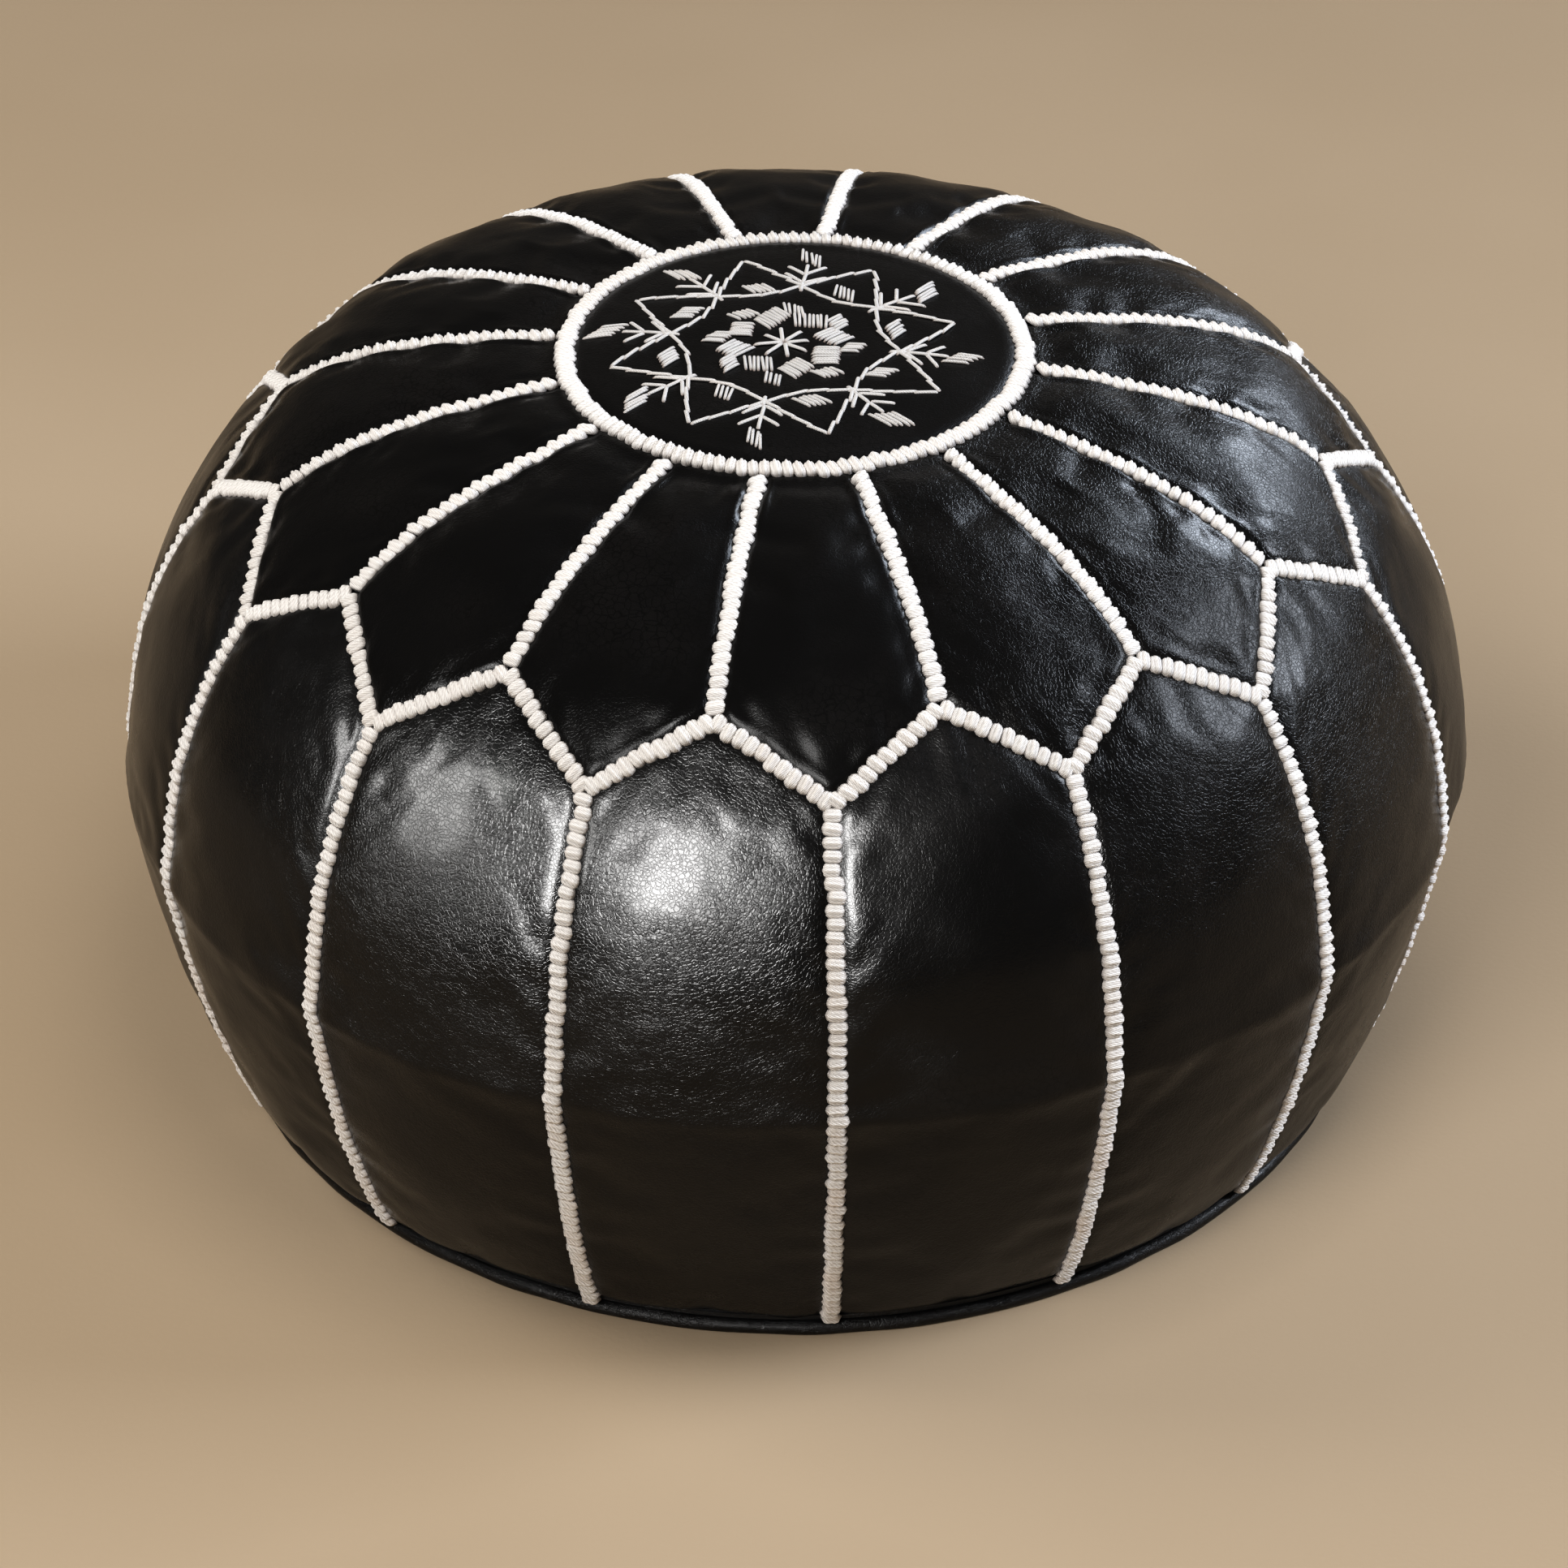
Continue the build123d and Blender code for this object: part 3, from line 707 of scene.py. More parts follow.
class PoufColours(bpy.types.PropertyGroup):
    """Colours of the leather, the threads, the zip and the stage."""

    leather: colour_property("Leather", "Black hide", (0.0038, 0.0038, 0.0040))
    worn: colour_property("Worn leather", "Hide where the dye is thinner", (0.0065, 0.0060, 0.0060))
    # Painted shade: the colour painted into the creases of the grain.
    crease_shade: colour_property("Creased leather", "Hide inside a crease", (0.003, 0.003, 0.003))
    scuff: colour_property("Scuffed leather", "Hide of the base", (0.0085, 0.0080, 0.0078))
    thread: colour_property("Thread", "Clean white thread", (0.85, 0.842, 0.83))
    satin: colour_property("Satin thread", "Embroidery thread", (0.60, 0.595, 0.59))
    # A darker, warmer thread tone, used more towards the bottom.
    lower_thread_tone: colour_property("Lower thread tone", "Thread low down and in blotches", (0.78, 0.71, 0.65))
    thread_shadow: colour_property("Thread shadow", "Between two strands", (0.50, 0.46, 0.43))
    # Painted shade where a stitch sinks into the leather and between its strands.
    thread_end_shade: colour_property("Thread end", "Where the thread goes into the leather", (0.16, 0.09, 0.06))
    nylon: colour_property("Nylon", "Zip teeth", (0.010, 0.010, 0.010))
    nylon_worn: colour_property("Worn nylon", "Polished zip teeth", (0.026, 0.026, 0.027))
    nickel: colour_property("Nickel", "Zip slider and pull", (0.55, 0.53, 0.50))
    nickel_dull: colour_property("Dull nickel", "Tarnished patches", (0.34, 0.32, 0.29))
    floor: colour_property("Floor", "Studio floor", (0.375, 0.294, 0.205))
    floor_light: colour_property("Floor, lighter", "Lighter parts of the floor", (0.40, 0.317, 0.226))


# ---- Cover ---------------------------------------------------------------------------------------
class PoufOperator:
    """What every operator of this add-on shares."""

    bl_options = {"REGISTER", "UNDO"}

    @property
    def sizes(self):
        return bpy.context.scene.pouf_sizes

    @property
    def colours(self):
        return bpy.context.scene.pouf_colours

    def sew_seam(self, kind, runs, slant, seed, share=1.0):
        """Sews the runs of one kind of seam, at a share of the seams' width."""
        sizes = self.sizes
        sew(f"{kind}_stitches", runs, share * sizes.seam_width, sizes.stitch_pitch, sizes.seam_height, slant,
            seed, f"{kind}_seam_stitching")


class POUF_OT_materials(PoufOperator, bpy.types.Operator):
    """Makes the shared effects and every finish of the pouf"""

    bl_idname = "pouf.materials"
    bl_label = "Materials"

    def execute(self, context):
        colours = self.colours
        for build in (grain_group, strand_group, weave_group):
            build()
        for build in (leather_material, nylon_material, nickel_material, floor_material):
            build(colours)
        even_hide("base_leather", (colours.leather, colours.scuff), (0.3, 0.75), (0.48, 0.56), 0.06, 620.0)
        even_hide("black_piping", (colours.leather, colours.worn), (0.4, 0.6), (0.3, 0.45), 0.05, 1500.0,
                  Specular_IOR_Level=0.3)
        thread_material(colours, "white_thread", colours.thread, strands=9.0, twist=0.5, ends=0.55)
        thread_material(colours, "satin_thread", colours.satin, strands=2.0, twist=0.6, ends=0.8)
        cloth_material("zip_tape", (0.008, 0.008, 0.008), (0.020, 0.020, 0.021), 1400.0, 0.7)
        cloth_material("lining_cloth", (0.34, 0.29, 0.21), (0.44, 0.39, 0.30), 1100.0, 0.85)
        cloth_material("wadding", (0.48, 0.45, 0.38), (0.60, 0.57, 0.50), 300.0, 0.9)
        return {"FINISHED"}


SIDE_LIT = "lit_by_the_front_boxes"  # the pieces that the two front softboxes are turned on
TOP_HIDES = 40  # the top panels' hides are drawn apart from the side panels'


def panel_boldness(index):
    """How bold the grain is on a panel: hides differ."""
    return random.Random(index * 38 + 109).choice((0.15, 0.3, 0.45, 0.7, 0.95))


class POUF_OT_panels(PoufOperator, bpy.types.Operator):
    """Adds the sixteen top panels and the sixteen side panels, stuffed and puckered at their seams"""

    bl_idname = "pouf.panels"
    bl_label = "Leather panels"

    def execute(self, context):
        outer, normals = cover_points()
        per_panel, top_rows, _ = FINE
        kinds = (("top", 0, slice(0, top_rows + 1), TOP_HIDES), ("side", -0.5, slice(top_rows, None), 0))
        for k in range(PANELS):
            for kind, start, rows, hides in kinds:
                first = int((k + start) * per_panel)
                picked = np.arange(first, first + per_panel + 1) % len(outer)
                name = f"{kind}_leather_{k + 1:02d}"
                piece = shell(name, outer[picked][:, rows], normals[picked][:, rows], LEATHER)
                attribute(piece, "boldness", panel_boldness(k + hides))
                finish_piece(piece, "black_leather", [f"{kind}_panel_{k + 1:02d}"])
                if kind == "side":
                    bpy.data.collections[SIDE_LIT].objects.link(piece)
        return {"FINISHED"}


def medallion_surface(x, y):
    """Points and normals of the cover's top above plan places in metres."""
    r, angle = np.hypot(x, y), np.arctan2(y, x)
    arc = np.interp(r, OUTLINE[: len(UPPER), 0], ARC[: len(UPPER)])
    return cover_place(angle, arc)


class POUF_OT_medallion(PoufOperator, bpy.types.Operator):
    """Adds the round piece of leather in the middle of the top"""

    bl_idname = "pouf.medallion"
    bl_label = "Medallion"

    def execute(self, context):
        angles = np.linspace(0, 2 * math.pi, ROUND_COLUMNS, endpoint=False)[:, None]
        arcs = np.linspace(AXIS_GAP, RING_S, MEDALLION_ROWS)[None, :]
        points, normals = cover_place(angles, arcs)
        d = (RING_S - arcs) / MM
        lift = -1.2 * hump(d, 0, 3.4) + 0.3 * hump(d, 7.5, 2.4)
        lift = lift + 0.5 * bump_field(points, 36 * MM, 8) * away(d, 12)
        piece = round_skin("medallion_leather", points + normals * (lift * MM)[..., None], normals, LEATHER)
        attribute(piece, "boldness", 0.2)
        finish_piece(piece, "black_leather", ["medallion"])
        return {"FINISHED"}


# ---- Stitches ------------------------------------------------------------------------------------
def stitch_form():
    """One plump stitch across a seam, 2 x 2 x 1 in size: three strands that dip at the middle."""
    select_none()
    bpy.ops.mesh.primitive_grid_add(x_subdivisions=6, y_subdivisions=9, size=2)
    points, faces = taken_apart(bpy.context.object)
    across, along = points[:, 0].copy(), points[:, 1].copy()
    strand = np.abs(np.sin(1.5 * math.pi * (along + 1)))
    dome = np.clip(1 - np.abs(across) ** 2.6, 0, 1) ** 0.6
    middle = 1 - 0.16 * np.exp(-((across / 0.3) ** 2))
    points[:, 2] = dome * middle * (0.7 + 0.3 * strand) * (1 - 0.78 * along**2)
    points[:, 0] *= 1 - 0.26 * along**2
    points[:, 1] *= 1 - 0.18 * np.abs(across) ** 3
    rim = [i for i in range(len(points)) if max(abs(across[i]), abs(along[i])) > 0.999]
    rim.sort(key=lambda i: -math.atan2(along[i], across[i]))
    return points, [*faces, tuple(rim)], 1 - strand


def joined(name, points, faces, uv, painted_shade, tint):
    """One piece from the points of many copies of a form, with the form's faces, UV map, painted shade and
    tints.
    """
    count, size = points.shape[:2]
    piece = mesh_piece(name, points, [tuple(v + n * size for v in f) for n in range(count) for f in faces])
    layer = piece.data.uv_layers.new(name="strand")
    corners = np.empty(len(piece.data.loops), int)
    piece.data.loops.foreach_get("vertex_index", corners)
    layer.data.foreach_set("uv", np.tile(uv, (count, 1))[corners].ravel())
    attribute(piece, "painted_shade", np.tile(painted_shade, count))
    attribute(piece, "tint", np.repeat(tint, size))
    return piece


def set_in_place(form, bases, origins):
    """The points of copies of a form, each set in its own base of three directions."""
    return np.einsum("vi,nij->nvj", form, bases) + origins[:, None, :]


def seam_places(angles, arcs, pitch, start=0.0, end=0.0):
    """Evenly spaced places along a seam with their across, along and outward directions."""
    points, normals = cover_place(angles, arcs)
    steps = travelled(points)
    run = steps[-1] - start - end
    count = max(2, round(run / pitch))
    at = start + (np.arange(count) + 0.5) * run / count
    along = unit(read_off(at, steps, np.gradient(points, steps, axis=0)))
    out = read_off(at, steps, normals)
    out = unit(out - along * (out * along).sum(1)[:, None])
    return read_off(at, steps, points), np.cross(along, out), along, out


RING_SAMPLES, RADIAL_SAMPLES, LEG_SAMPLES, SIDE_SAMPLES = 721, 90, 48, 160
RING_HEIGHT = 3.6 * MM
STITCH_SINK = 0.9 * MM  # how deep the middle plane of a stitch lies


def sew(name, runs, width, pitch, height, slant, seed, node):
    """Sews stitches along runs of places and joins them into one piece; slant is in degrees."""
    draw = np.random.default_rng(seed)
    form, faces, groove = stitch_form()
    place, across, along, out = (np.concatenate(part) for part in zip(*runs))
    count = len(place)

    def vary(middle, spread):
        return draw.normal(middle, spread, count)[:, None]

    turn = np.radians(np.broadcast_to(slant, count)[:, None] + vary(0, 4))
    side = across * np.cos(turn) + along * np.sin(turn)
    front = along * np.cos(turn) - across * np.sin(turn)
    wide = width / 2 * vary(1, 0.05)
    long = pitch * 0.58 * vary(1, 0.05)
    high = height * vary(1, 0.07)
    place = place + across * vary(0, 0.3 * MM) - out * STITCH_SINK
    bases = np.stack([side * wide, front * long, out * high], axis=1)
    # Painted shade: the low sides of each stitch and the dips between its strands on top.
    edge = np.clip(1.1 - form[:, 2] * 2.2, 0, 1) + 0.35 * groove * (form[:, 2] > 0.4)
    points = set_in_place(form, bases, place)
    piece = joined(name, points, faces, form[:, :2] * 0.5 + 0.5, edge, draw.random(count))
    finish_piece(piece, "white_thread", [node])


class POUF_OT_ring(PoufOperator, bpy.types.Operator):
    """Adds the ring of stitches round the medallion"""

    bl_idname = "pouf.ring"
    bl_label = "Ring stitches"

    def execute(self, context):
        sizes = self.sizes
        run = seam_places(np.linspace(0, 2 * math.pi, RING_SAMPLES), RING_S, sizes.ring_pitch)
        sew("ring_stitches", [run], sizes.ring_width, sizes.ring_pitch, RING_HEIGHT, 14, 1,
            "medallion_ring_stitching")
        return {"FINISHED"}


class POUF_OT_radial_seams(PoufOperator, bpy.types.Operator):
    """Adds the sixteen seams between the top panels"""

    bl_idname = "pouf.radial_seams"
    bl_label = "Radial seams"

    def execute(self, context):
        sizes = self.sizes
        runs = [
            seam_places(PEAK_ANGLES[k], np.linspace(RING_S, PEAK_ARCS[k], RADIAL_SAMPLES), sizes.stitch_pitch,
                        start=sizes.ring_width / 2 + 0.8 * MM, end=2.5 * MM)
            for k in range(PANELS)
        ]
        slant = np.concatenate([np.linspace(34, 8, len(run[0])) for run in runs])
        self.sew_seam("radial", runs, slant, 2)
        return {"FINISHED"}


class POUF_OT_zigzag_seam(PoufOperator, bpy.types.Operator):
    """Adds the zigzag seam between the top and the side panels"""

    bl_idname = "pouf.zigzag_seam"
    bl_label = "Zigzag seam"

    def execute(self, context):
        sizes = self.sizes
        angles, zigzag = columns(2 * LEG_SAMPLES)
        angles = np.append(angles, angles[0] + 2 * math.pi)
        zigzag = np.append(zigzag, zigzag[0])
        runs = []
        for start in range(0, len(angles) - 1, LEG_SAMPLES):
            leg = slice(start, start + LEG_SAMPLES + 1)
            runs.append(seam_places(angles[leg], zigzag[leg], self.sizes.stitch_pitch))
        slant = np.concatenate([np.full(len(run[0]), 12 if n % 2 else 4) for n, run in enumerate(runs)])
        self.sew_seam("zigzag", runs, slant, 3)
        return {"FINISHED"}


class POUF_OT_side_seams(PoufOperator, bpy.types.Operator):
    """Adds the sixteen seams between the side panels"""

    bl_idname = "pouf.side_seams"
    bl_label = "Side seams"

    def execute(self, context):
        sizes = self.sizes
        runs = [
            seam_places(VALLEY_ANGLES[k], np.linspace(VALLEY_ARCS[k], FOOT_S, SIDE_SAMPLES),
                        sizes.stitch_pitch, start=1.4 * MM, end=0.5 * MM)
            for k in range(PANELS)
        ]
        self.sew_seam("side", runs, -5, 4, share=0.96)
        return {"FINISHED"}


# ---- Embroidery ----------------------------------------------------------------------------------
MOTIF_TURN = 21.35
MOTIF_SHIFT = (-3.6, -1.6)
STRAND_TURN = 7.85  # the satin strands keep to eight directions, turned by this much
STAR_R, STAR_WAIST_R = 69.0, 38.0
SPRIG_STEM = ((41.0, 49.0), (47.5, 56.5), (55.0, 64.5))
SPRIG_WIDTH = 1.15
THREAD_SLIP = 0.27  # how far, in millimetres, the ends of threads stray
SATIN_PITCH, SATIN_WIDTH, SATIN_HEIGHT = 1.7, 0.88, 1.15


def around(radius, angle):
    """A plan place of the motif, in millimetres, from its radius and its angle in degrees."""
    a = math.radians(angle)
    return np.array([radius * math.cos(a), radius * math.sin(a)])


def satin_direction(angle):
    """The nearest of the eight directions to an angle."""
    return round((angle - STRAND_TURN) / 45) * 45 + STRAND_TURN


class Motif:
    """Collects the threads of the embroidery, each from one plan place to another."""

    def __init__(self, seed):
        self.draw = random.Random(seed)
        self.threads = []

    def thread(self, start, end, width=1.0, height=1.0):
        slip = [self.draw.gauss(0, THREAD_SLIP) for _ in range(4)]
        self.threads.append((np.array(start) + slip[:2], np.array(end) + slip[2:], width, height))

    def back_stitch(self, points, length=8.5):
        """A line of overlapping stitches, each lying a little across the line."""
        steps = travelled(points)
        count = max(1, round(steps[-1] / length))
        for i in range(count):
            ends = []
            for at, aside in ((i - 0.12, -0.5), (i + 1.14, 0.5)):
                at = min(max(at, 0), count) * steps[-1] / count
                behind, place, ahead = (read_off(at + by, steps, points) for by in (-0.5, 0, 0.5))
                way = (ahead - place) + (place - behind)
                way = way / max(np.linalg.norm(way), 1e-9)
                ends.append(place + aside * np.array([-way[1], way[0]]))
            self.thread(*ends, width=1.2)

    def satin(self, middle, direction, length, count, stagger):
        """A block of parallel threads; stagger makes it a lozenge."""
        way, aside = around(1, direction), around(1, direction + 90)
        for i in range(count):
            off = i - (count - 1) / 2
            centre = middle + aside * off * SATIN_PITCH + way * off * stagger
            self.thread(centre - way * length / 2, centre + way * length / 2, SATIN_WIDTH, SATIN_HEIGHT)

    def block(self, radii, at, lean, spread, lengths, count, staggers):
        """A satin block whose place, direction, length and stagger are drawn from their limits."""
        vary = self.draw.uniform
        middle = around(vary(*radii), at)
        self.satin(middle, lean + vary(-spread, spread), vary(*lengths), count, vary(*staggers))


def motif_threads():
    """The whole motif: star, sprigs, lozenges, satin squares and the small star in the middle."""
    motif = Motif(5)
    for k in range(8):
        point = MOTIF_TURN + 45 * k
        node = point + 22.5
        bow = np.linspace(-45, 45, 60)
        straight = STAR_R * math.cos(math.radians(45))
        radii = straight / np.cos(np.radians(bow))
        radii -= (straight - STAR_WAIST_R) * np.cos(np.radians(2 * bow))
        side = np.array([around(r, point + 45 + b) for r, b in zip(radii, bow)])
        motif.back_stitch(side)
        motif.thread(around(0.6, point - 6), around(motif.draw.uniform(10, 12.5), point - 6), width=1.2)
        vary = motif.draw.uniform
        lean = satin_direction(point + 31.5)
        count = motif.draw.choice((6, 7, 8))
        motif.block((18.5, 20.5), point, lean, 6, (9.5, 12), count, (-0.35, 0.35))
        count = motif.draw.choice((4, 4, 5))
        motif.block((43, 46), point, lean, 9, (8.5, 10.5), count, (0.8, 1.3))
        lean = satin_direction(node)
        motif.block((26, 28.5), node, lean, 9, (7.5, 9), count, (0.7, 1.2))
        motif.block((69, 71), node, lean, 6, (10.5, 12.5), count, (1.2, 1.8))
        for start_r, end_r in SPRIG_STEM:
            motif.thread(around(start_r, node), around(end_r, node), SPRIG_WIDTH)
        for foot_r, _ in SPRIG_STEM[1:]:
            for turn in (-50, 50):
                foot = around(foot_r, node)
                motif.thread(foot, foot + around(vary(10, 12), node + turn + vary(-6, 6)), SPRIG_WIDTH)
    return motif.threads


def thread_form():
    """One thread lying on the leather, 1 x 1 x 1 in size: a round rod, cut across near its ends, whose ends
    the callers shape so that it rises there and runs flat between.
    """
    select_none()
    bpy.ops.mesh.primitive_cylinder_add(vertices=8, radius=0.5, depth=1, rotation=(0, math.pi / 2, 0))
    bpy.ops.object.transform_apply(location=False, rotation=True, scale=False)
    bpy.ops.object.mode_set(mode="EDIT")
    for at in (-0.42, -0.3, -0.1, 0.1, 0.3, 0.42):
        bpy.ops.mesh.select_all(action="SELECT")
        bpy.ops.mesh.bisect(plane_co=(at, 0, 0), plane_no=(1, 0, 0))
    bpy.ops.object.mode_set(mode="OBJECT")
    return taken_apart(bpy.context.object)


class POUF_OT_embroidery(PoufOperator, bpy.types.Operator):
    """Adds the embroidered star on the medallion, thread by thread"""

    bl_idname = "pouf.embroidery"
    bl_label = "Embroidery"

    def execute(self, context):
        form, faces = thread_form()
        draw = np.random.default_rng(6)
        end = np.clip((np.abs(form[:, 0]) - 0.36) / 0.14, 0, 1)
        rise = np.sqrt(np.clip(1 - end**2 * 0.94, 0, 1))
        points, tints = [], []
        for start, stop, width, height in motif_threads():
            run = (stop - start) * MM
            length = np.linalg.norm(run)
            way = run / length
            middle = (start + stop) / 2 * MM + np.array(MOTIF_SHIFT) * MM
            across = np.array([-way[1], way[0]])
            wide = self.sizes.thread_width * width * (0.55 + 0.45 * rise)
            plan = middle + form[:, :1] * length * way + form[:, 1:2] * wide[:, None] * across
            high = (form[:, 2] * 0.85 + 0.28) * self.sizes.thread_width * height * rise - 0.35 * MM * end
            place, normal = medallion_surface(plan[:, 0], plan[:, 1])
            points.append(place + normal * (high + 0.05 * MM)[:, None])
            tints.append(draw.random())
        uv = np.stack([form[:, 0] * 8, form[:, 1]], -1)
        # Painted shade: at the ends of each thread and on its lower half.
        shaded = np.clip(end * 1.3 - 0.35, 0, 1) + 0.8 * np.clip(-2.4 * form[:, 2], 0, 1)
        piece = joined("embroidery_threads", np.array(points), faces, uv, np.clip(shaded, 0, 1), tints)
        finish_piece(piece, "satin_thread", ["medallion_embroidery"])
        return {"FINISHED"}


# ---- Base and zip --------------------------------------------------------------------------------
class POUF_OT_piping(PoufOperator, bpy.types.Operator):
    """Adds the rolled leather piping round the foot, with the ridges of its whip stitches"""

    bl_idname = "pouf.piping"
    bl_label = "Piping"

    def execute(self, context):
        low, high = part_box("base_piping")
        radius = self.sizes.piping_radius
        ring = high.x - radius
        wraps = round(2 * math.pi * ring / (3.1 * MM))
        select_none()
        bpy.ops.mesh.primitive_torus_add(
            major_segments=wraps * 3, minor_segments=14, major_radius=ring, minor_radius=radius,
            location=(0, 0, high.z - radius),
        )
        piece = bpy.context.object
        piece.name = piece.data.name = "foot_piping"
        bpy.ops.object.transform_apply()
        points = np.array([v.co for v in piece.data.vertices])
        angle = np.arctan2(points[:, 1], points[:, 0])
        middle = np.full(len(angle), high.z - radius)
        centre = np.stack([ring * np.cos(angle), ring * np.sin(angle), middle], -1)
        out = unit(points - centre)
        tilt = np.arctan2(out[:, 2], out[:, 0] * np.cos(angle) + out[:, 1] * np.sin(angle))
        ridge = np.cos(angle * wraps + tilt * 0.8)
        size = radius * (0.95 + 0.05 * ridge + 0.05 * np.sin(angle * 37) * np.sin(angle * 11 + 1))
        points = centre + out * size[:, None]
        points[:, 2] = np.maximum(points[:, 2], low.z)
        piece.data.vertices.foreach_set("co", points.ravel())
        piece.data.update()
        bpy.ops.object.shade_smooth()
        finish_piece(piece, "black_piping", ["base_piping"])
        return {"FINISHED"}


def dress(node, material):
    """Gives a CAD node a finish and leaves its shape alone."""
    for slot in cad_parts[node].material_slots:
        slot.material = finish(material)


BASE_FINISHES = {
    "base_leather": ("base_half_front", "base_half_back"),
    "zip_tape": ("zip_tape_front", "zip_tape_back"),
    "zip_nylon": ("zip_teeth_front", "zip_teeth_back"),
    "zip_metal": ("zip_stops", "zip_slider", "zip_pull"),
}
TOPSTITCH_ROWS = (-14.5 * MM, -10.5 * MM, 10.5 * MM, 14.5 * MM)
TOPSTITCH_PITCH, TOPSTITCH_REACH = 4.0 * MM, 154 * MM
TOPSTITCH_SIZE = (3.3 * MM, 0.8 * MM, -0.7 * MM)  # negative, because it stands out downwards


class POUF_OT_base(PoufOperator, bpy.types.Operator):
    """Finishes the base and the zip, and adds the rows of machine stitches beside the zip"""

    bl_idname = "pouf.base"
    bl_label = "Base and zip"

    def execute(self, context):
        for material, nodes in BASE_FINISHES.items():
            for node in nodes:
                dress(node, material)
        form, faces = thread_form()
        base_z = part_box("base_half_front")[0].z
        along = np.arange(-TOPSTITCH_REACH, TOPSTITCH_REACH, TOPSTITCH_PITCH)
        origins = np.array([(x, y, base_z) for y in TOPSTITCH_ROWS for x in along])
        bases = np.array([np.diag(TOPSTITCH_SIZE)] * len(origins))
        end = np.clip((np.abs(form[:, 0]) - 0.3) / 0.2, 0, 1)
        arched = form * np.stack([np.ones(len(form)), 1 - 0.5 * end, 1 - 0.7 * end], -1)
        flipped = [tuple(reversed(f)) for f in faces]
        points = set_in_place(arched, bases, origins)
        tint = np.random.default_rng(9).random(len(origins))
        # Painted shade: at the ends of each stitch, where it goes into the base.
        piece = joined("zip_topstitching", points, flipped, form[:, :2], end, tint)
        finish_piece(piece, "satin_thread")
        return {"FINISHED"}


class POUF_OT_inside(PoufOperator, bpy.types.Operator):
    """Adds the cotton lining and the lumpy filling"""

    bl_idname = "pouf.inside"
    bl_label = "Lining and filling"

    def execute(self, context):
        angles = np.linspace(0, 2 * math.pi, ROUND_COLUMNS, endpoint=False)[:, None]
        arcs = np.linspace(AXIS_GAP, FOOT_S - 3 * MM, INSIDE_ROWS)[None, :]
        places, normals = cover_place(angles, arcs)
        for name, node, inset, lumps, material, thickness in (
            ("cotton_lining", "inner_lining", 3.6 * MM, 0.0, "lining_cloth", 0.6 * MM),
            ("wadding_filling", "filling", 6.0 * MM, 1.2, "wadding", 0.0),
        ):
            lift = -inset + lumps * MM * (bump_field(places, 30 * MM, 9) - 0.6)
            points = places + normals * lift[..., None]
            points[..., 2] = np.maximum(points[..., 2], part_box(node)[0].z)
            piece = round_skin(name, points, normals, thickness)
            finish_piece(piece, material, [node])
        return {"FINISHED"}


# ---- Stage ---------------------------------------------------------------------------------------
VIEW_TURN = 7.85  # degrees from the -Y side, towards +X
VIEW_HEIGHT = 35.25  # degrees above the floor
VIEW_DISTANCE = 1.979
VIEW_AIM = Vector((-3.8 * MM, 0, 91.4 * MM))
LENS, SENSOR = 109.8, 36
LIT_MIDDLE = Vector((0, 0, 0.15))
DAYLIGHT = (1.0, 0.9, 0.78, 1)
DAYLIGHT_STRENGTH = 0.12


def towards(turn, height):
    """The direction of a place seen from the middle, by its angle from the viewer's side and its height."""
    a, e = math.radians(turn + VIEW_TURN - 90), math.radians(height)
    return Vector((math.cos(a) * math.cos(e), math.sin(a) * math.cos(e), math.sin(e)))


def area_light(name, turn, height, distance, size, power, tint, diffuse=True, glossy=True, only=None):
    """A softbox aimed at the pouf, lighting matt surfaces, reflections or both, or only some pieces."""
    data = bpy.data.lights.new(name, "AREA")
    data.shape = "RECTANGLE"
    data.size, data.size_y = size
    data.energy = power
    data.color = tint
    lamp = bpy.data.objects.new(name, data)
    lamp.location = LIT_MIDDLE + towards(turn, height) * distance
    lamp.rotation_euler = facing(lamp.location, LIT_MIDDLE)
    lamp.visible_diffuse, lamp.visible_glossy = diffuse, glossy
    if only:
        lamp.light_linking.receiver_collection = only
    bpy.context.scene.collection.objects.link(lamp)


def facing(place, aim):
    """The turn of a lamp or a camera at a place that looks at its aim."""
    return (aim - place).to_track_quat("-Z", "Y").to_euler()


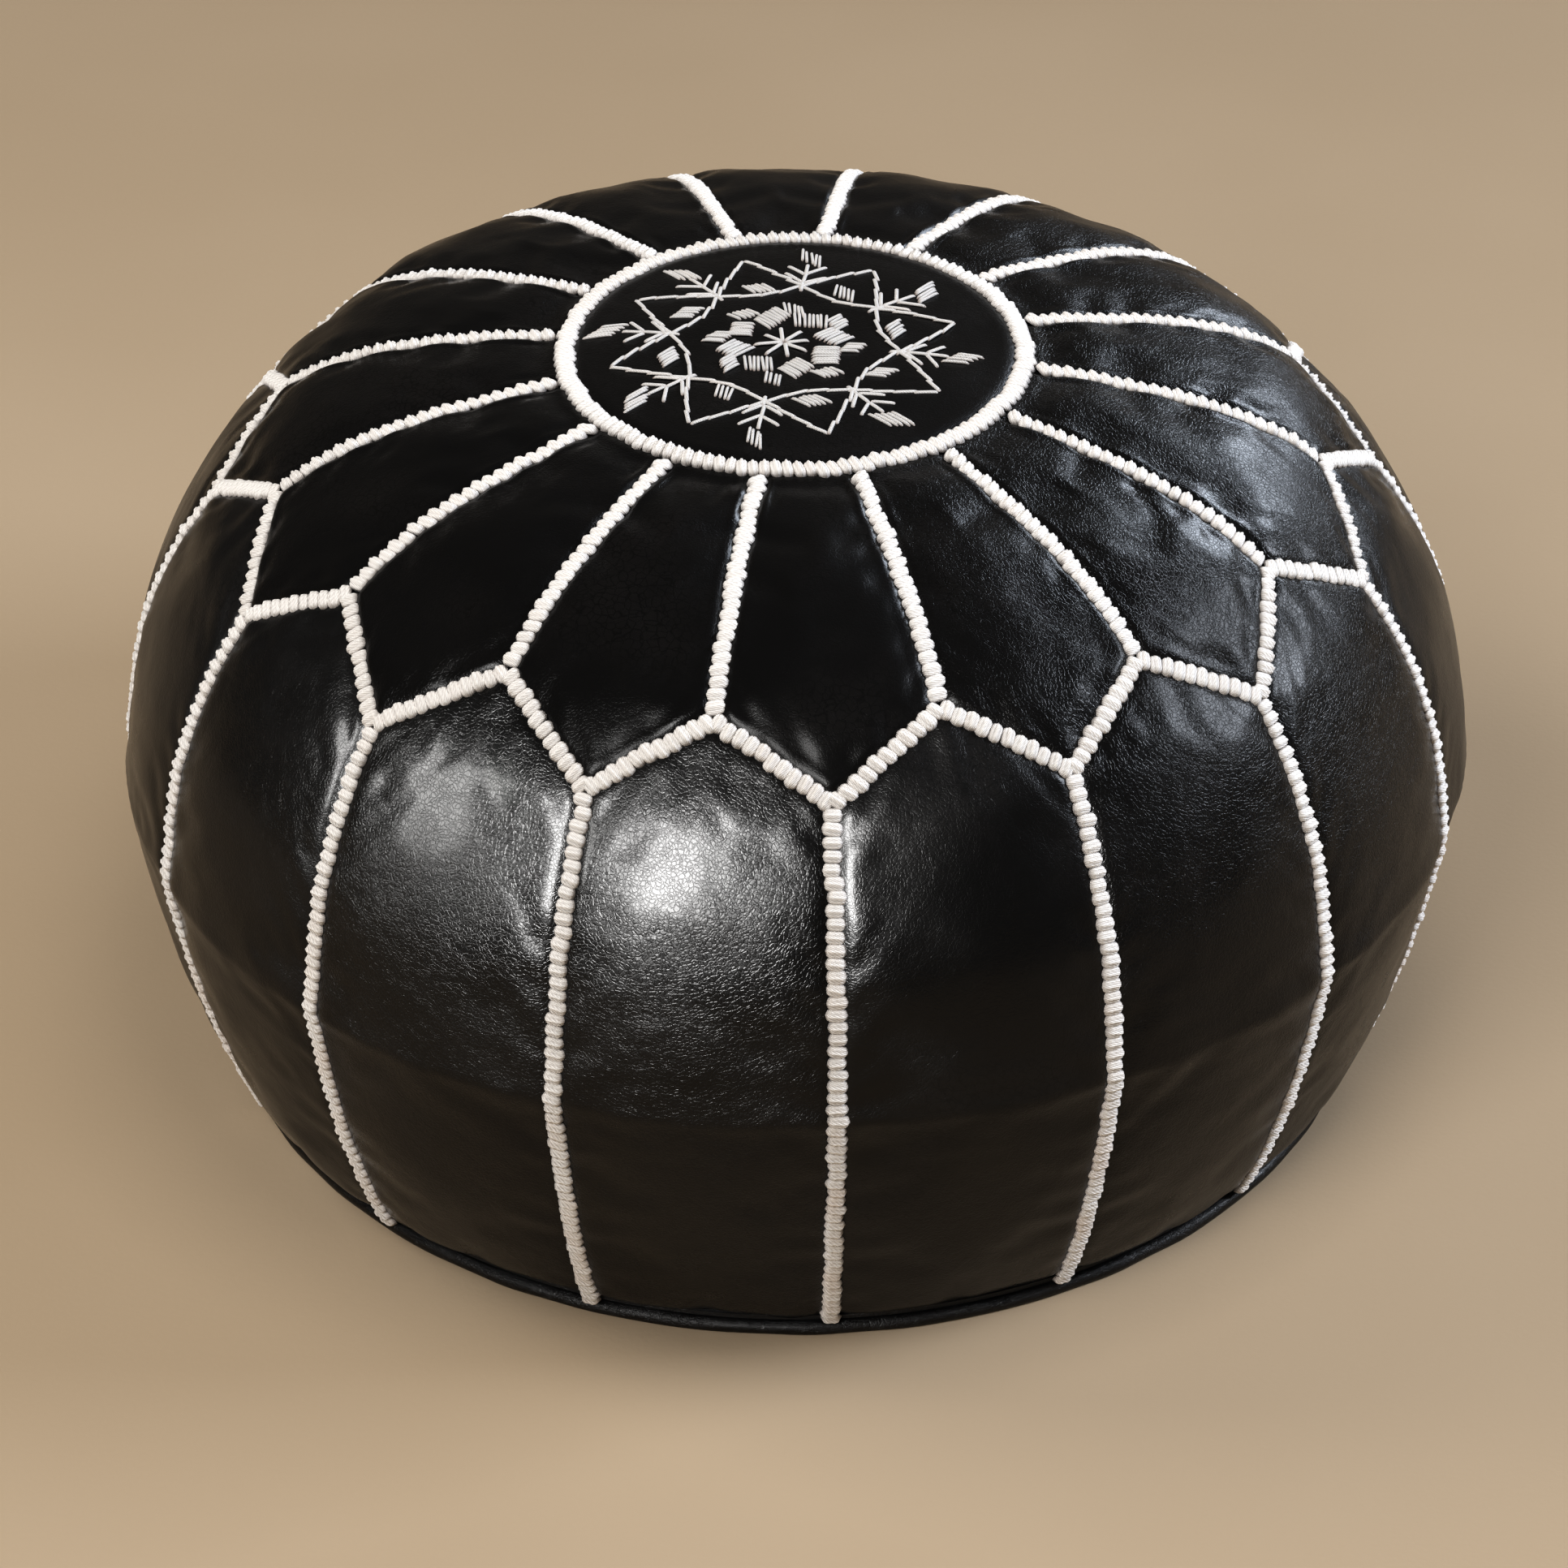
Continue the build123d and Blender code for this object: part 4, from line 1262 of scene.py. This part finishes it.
class POUF_OT_stage(PoufOperator, bpy.types.Operator):
    """Adds the floor, the camera and the soft lights"""

    bl_idname = "pouf.stage"
    bl_label = "Stage"

    def execute(self, context):
        select_none()
        bpy.ops.mesh.primitive_plane_add(size=16)
        floor = context.object
        floor.name = "floor"
        floor.data.materials.append(finish("floor"))
        side = bpy.data.collections.new(SIDE_LIT)
        area_light("front_box", -19, 25, 2.2, (0.68, 0.8), 115, (1.0, 0.99, 0.98), diffuse=False, only=side)
        area_light("left_box", -60, 22, 2.3, (0.5, 0.9), 48, (1.0, 0.99, 0.97), diffuse=False, only=side)
        area_light("front_glow", -22, 25, 2.2, (0.9, 0.8), 34, (1.0, 0.99, 0.98), diffuse=False)
        area_light("right_window", 92, 28, 2.6, (1.0, 0.8), 56, (0.84, 0.90, 1.0))
        area_light("right_end", 138, 28, 2.6, (0.9, 0.8), 40, (0.80, 0.88, 1.0), diffuse=False)
        area_light("front_fill", -25, 40, 2.4, (1.0, 1.0), 24, (1.0, 0.97, 0.93), glossy=False)
        area_light("left_fill", -100, 42, 2.4, (1.0, 1.0), 24, (1.0, 0.97, 0.93), glossy=False)
        area_light("ceiling", 40, 78, 3.2, (1.4, 1.4), 30, (1.0, 0.96, 0.92), glossy=False)
        world = bpy.data.worlds.new("studio")
        world.use_nodes = True
        background = world.node_tree.nodes["Background"].inputs
        background["Color"].default_value = DAYLIGHT
        background["Strength"].default_value = DAYLIGHT_STRENGTH
        context.scene.world = world
        data = bpy.data.cameras.new("camera")
        data.lens, data.sensor_width = LENS, SENSOR
        data.clip_end = 50
        camera = bpy.data.objects.new("camera", data)
        camera.location = VIEW_AIM + towards(0, VIEW_HEIGHT) * VIEW_DISTANCE
        camera.rotation_euler = facing(camera.location, VIEW_AIM)
        context.scene.collection.objects.link(camera)
        context.scene.camera = camera
        context.scene.view_settings.view_transform = "Standard"
        context.scene.view_settings.look = "Medium High Contrast"
        return {"FINISHED"}


# ---- Panel and registration ----------------------------------------------------------------------
STEPS = (
    POUF_OT_materials,
    POUF_OT_stage,
    POUF_OT_inside,
    POUF_OT_panels,
    POUF_OT_medallion,
    POUF_OT_ring,
    POUF_OT_radial_seams,
    POUF_OT_zigzag_seam,
    POUF_OT_side_seams,
    POUF_OT_embroidery,
    POUF_OT_piping,
    POUF_OT_base,
)


class POUF_PT_panel(bpy.types.Panel):
    """Lists the pouf's pieces, sizes and colours"""

    bl_idname = "POUF_PT_panel"
    bl_label = "Leather Pouf"
    bl_space_type = "VIEW_3D"
    bl_region_type = "UI"
    bl_category = "Pouf"

    def draw(self, context):
        for step in STEPS:
            self.layout.operator(step.bl_idname)
        for group in (context.scene.pouf_sizes, context.scene.pouf_colours):
            box = self.layout.box()
            for name in group.bl_rna.properties.keys():
                if name not in ("rna_type", "name"):
                    box.prop(group, name)


CLASSES = (PoufSizes, PoufColours, *STEPS, POUF_PT_panel)


def register():
    for cls in CLASSES:
        bpy.utils.register_class(cls)
    bpy.types.Scene.pouf_sizes = bpy.props.PointerProperty(type=PoufSizes)
    bpy.types.Scene.pouf_colours = bpy.props.PointerProperty(type=PoufColours)


def unregister():
    del bpy.types.Scene.pouf_colours
    del bpy.types.Scene.pouf_sizes
    for cls in reversed(CLASSES):
        bpy.utils.unregister_class(cls)


def main():
    register()
    for step in STEPS:
        group, name = step.bl_idname.split(".")
        getattr(getattr(bpy.ops, group), name)()


if __name__ == "__main__":
    main()
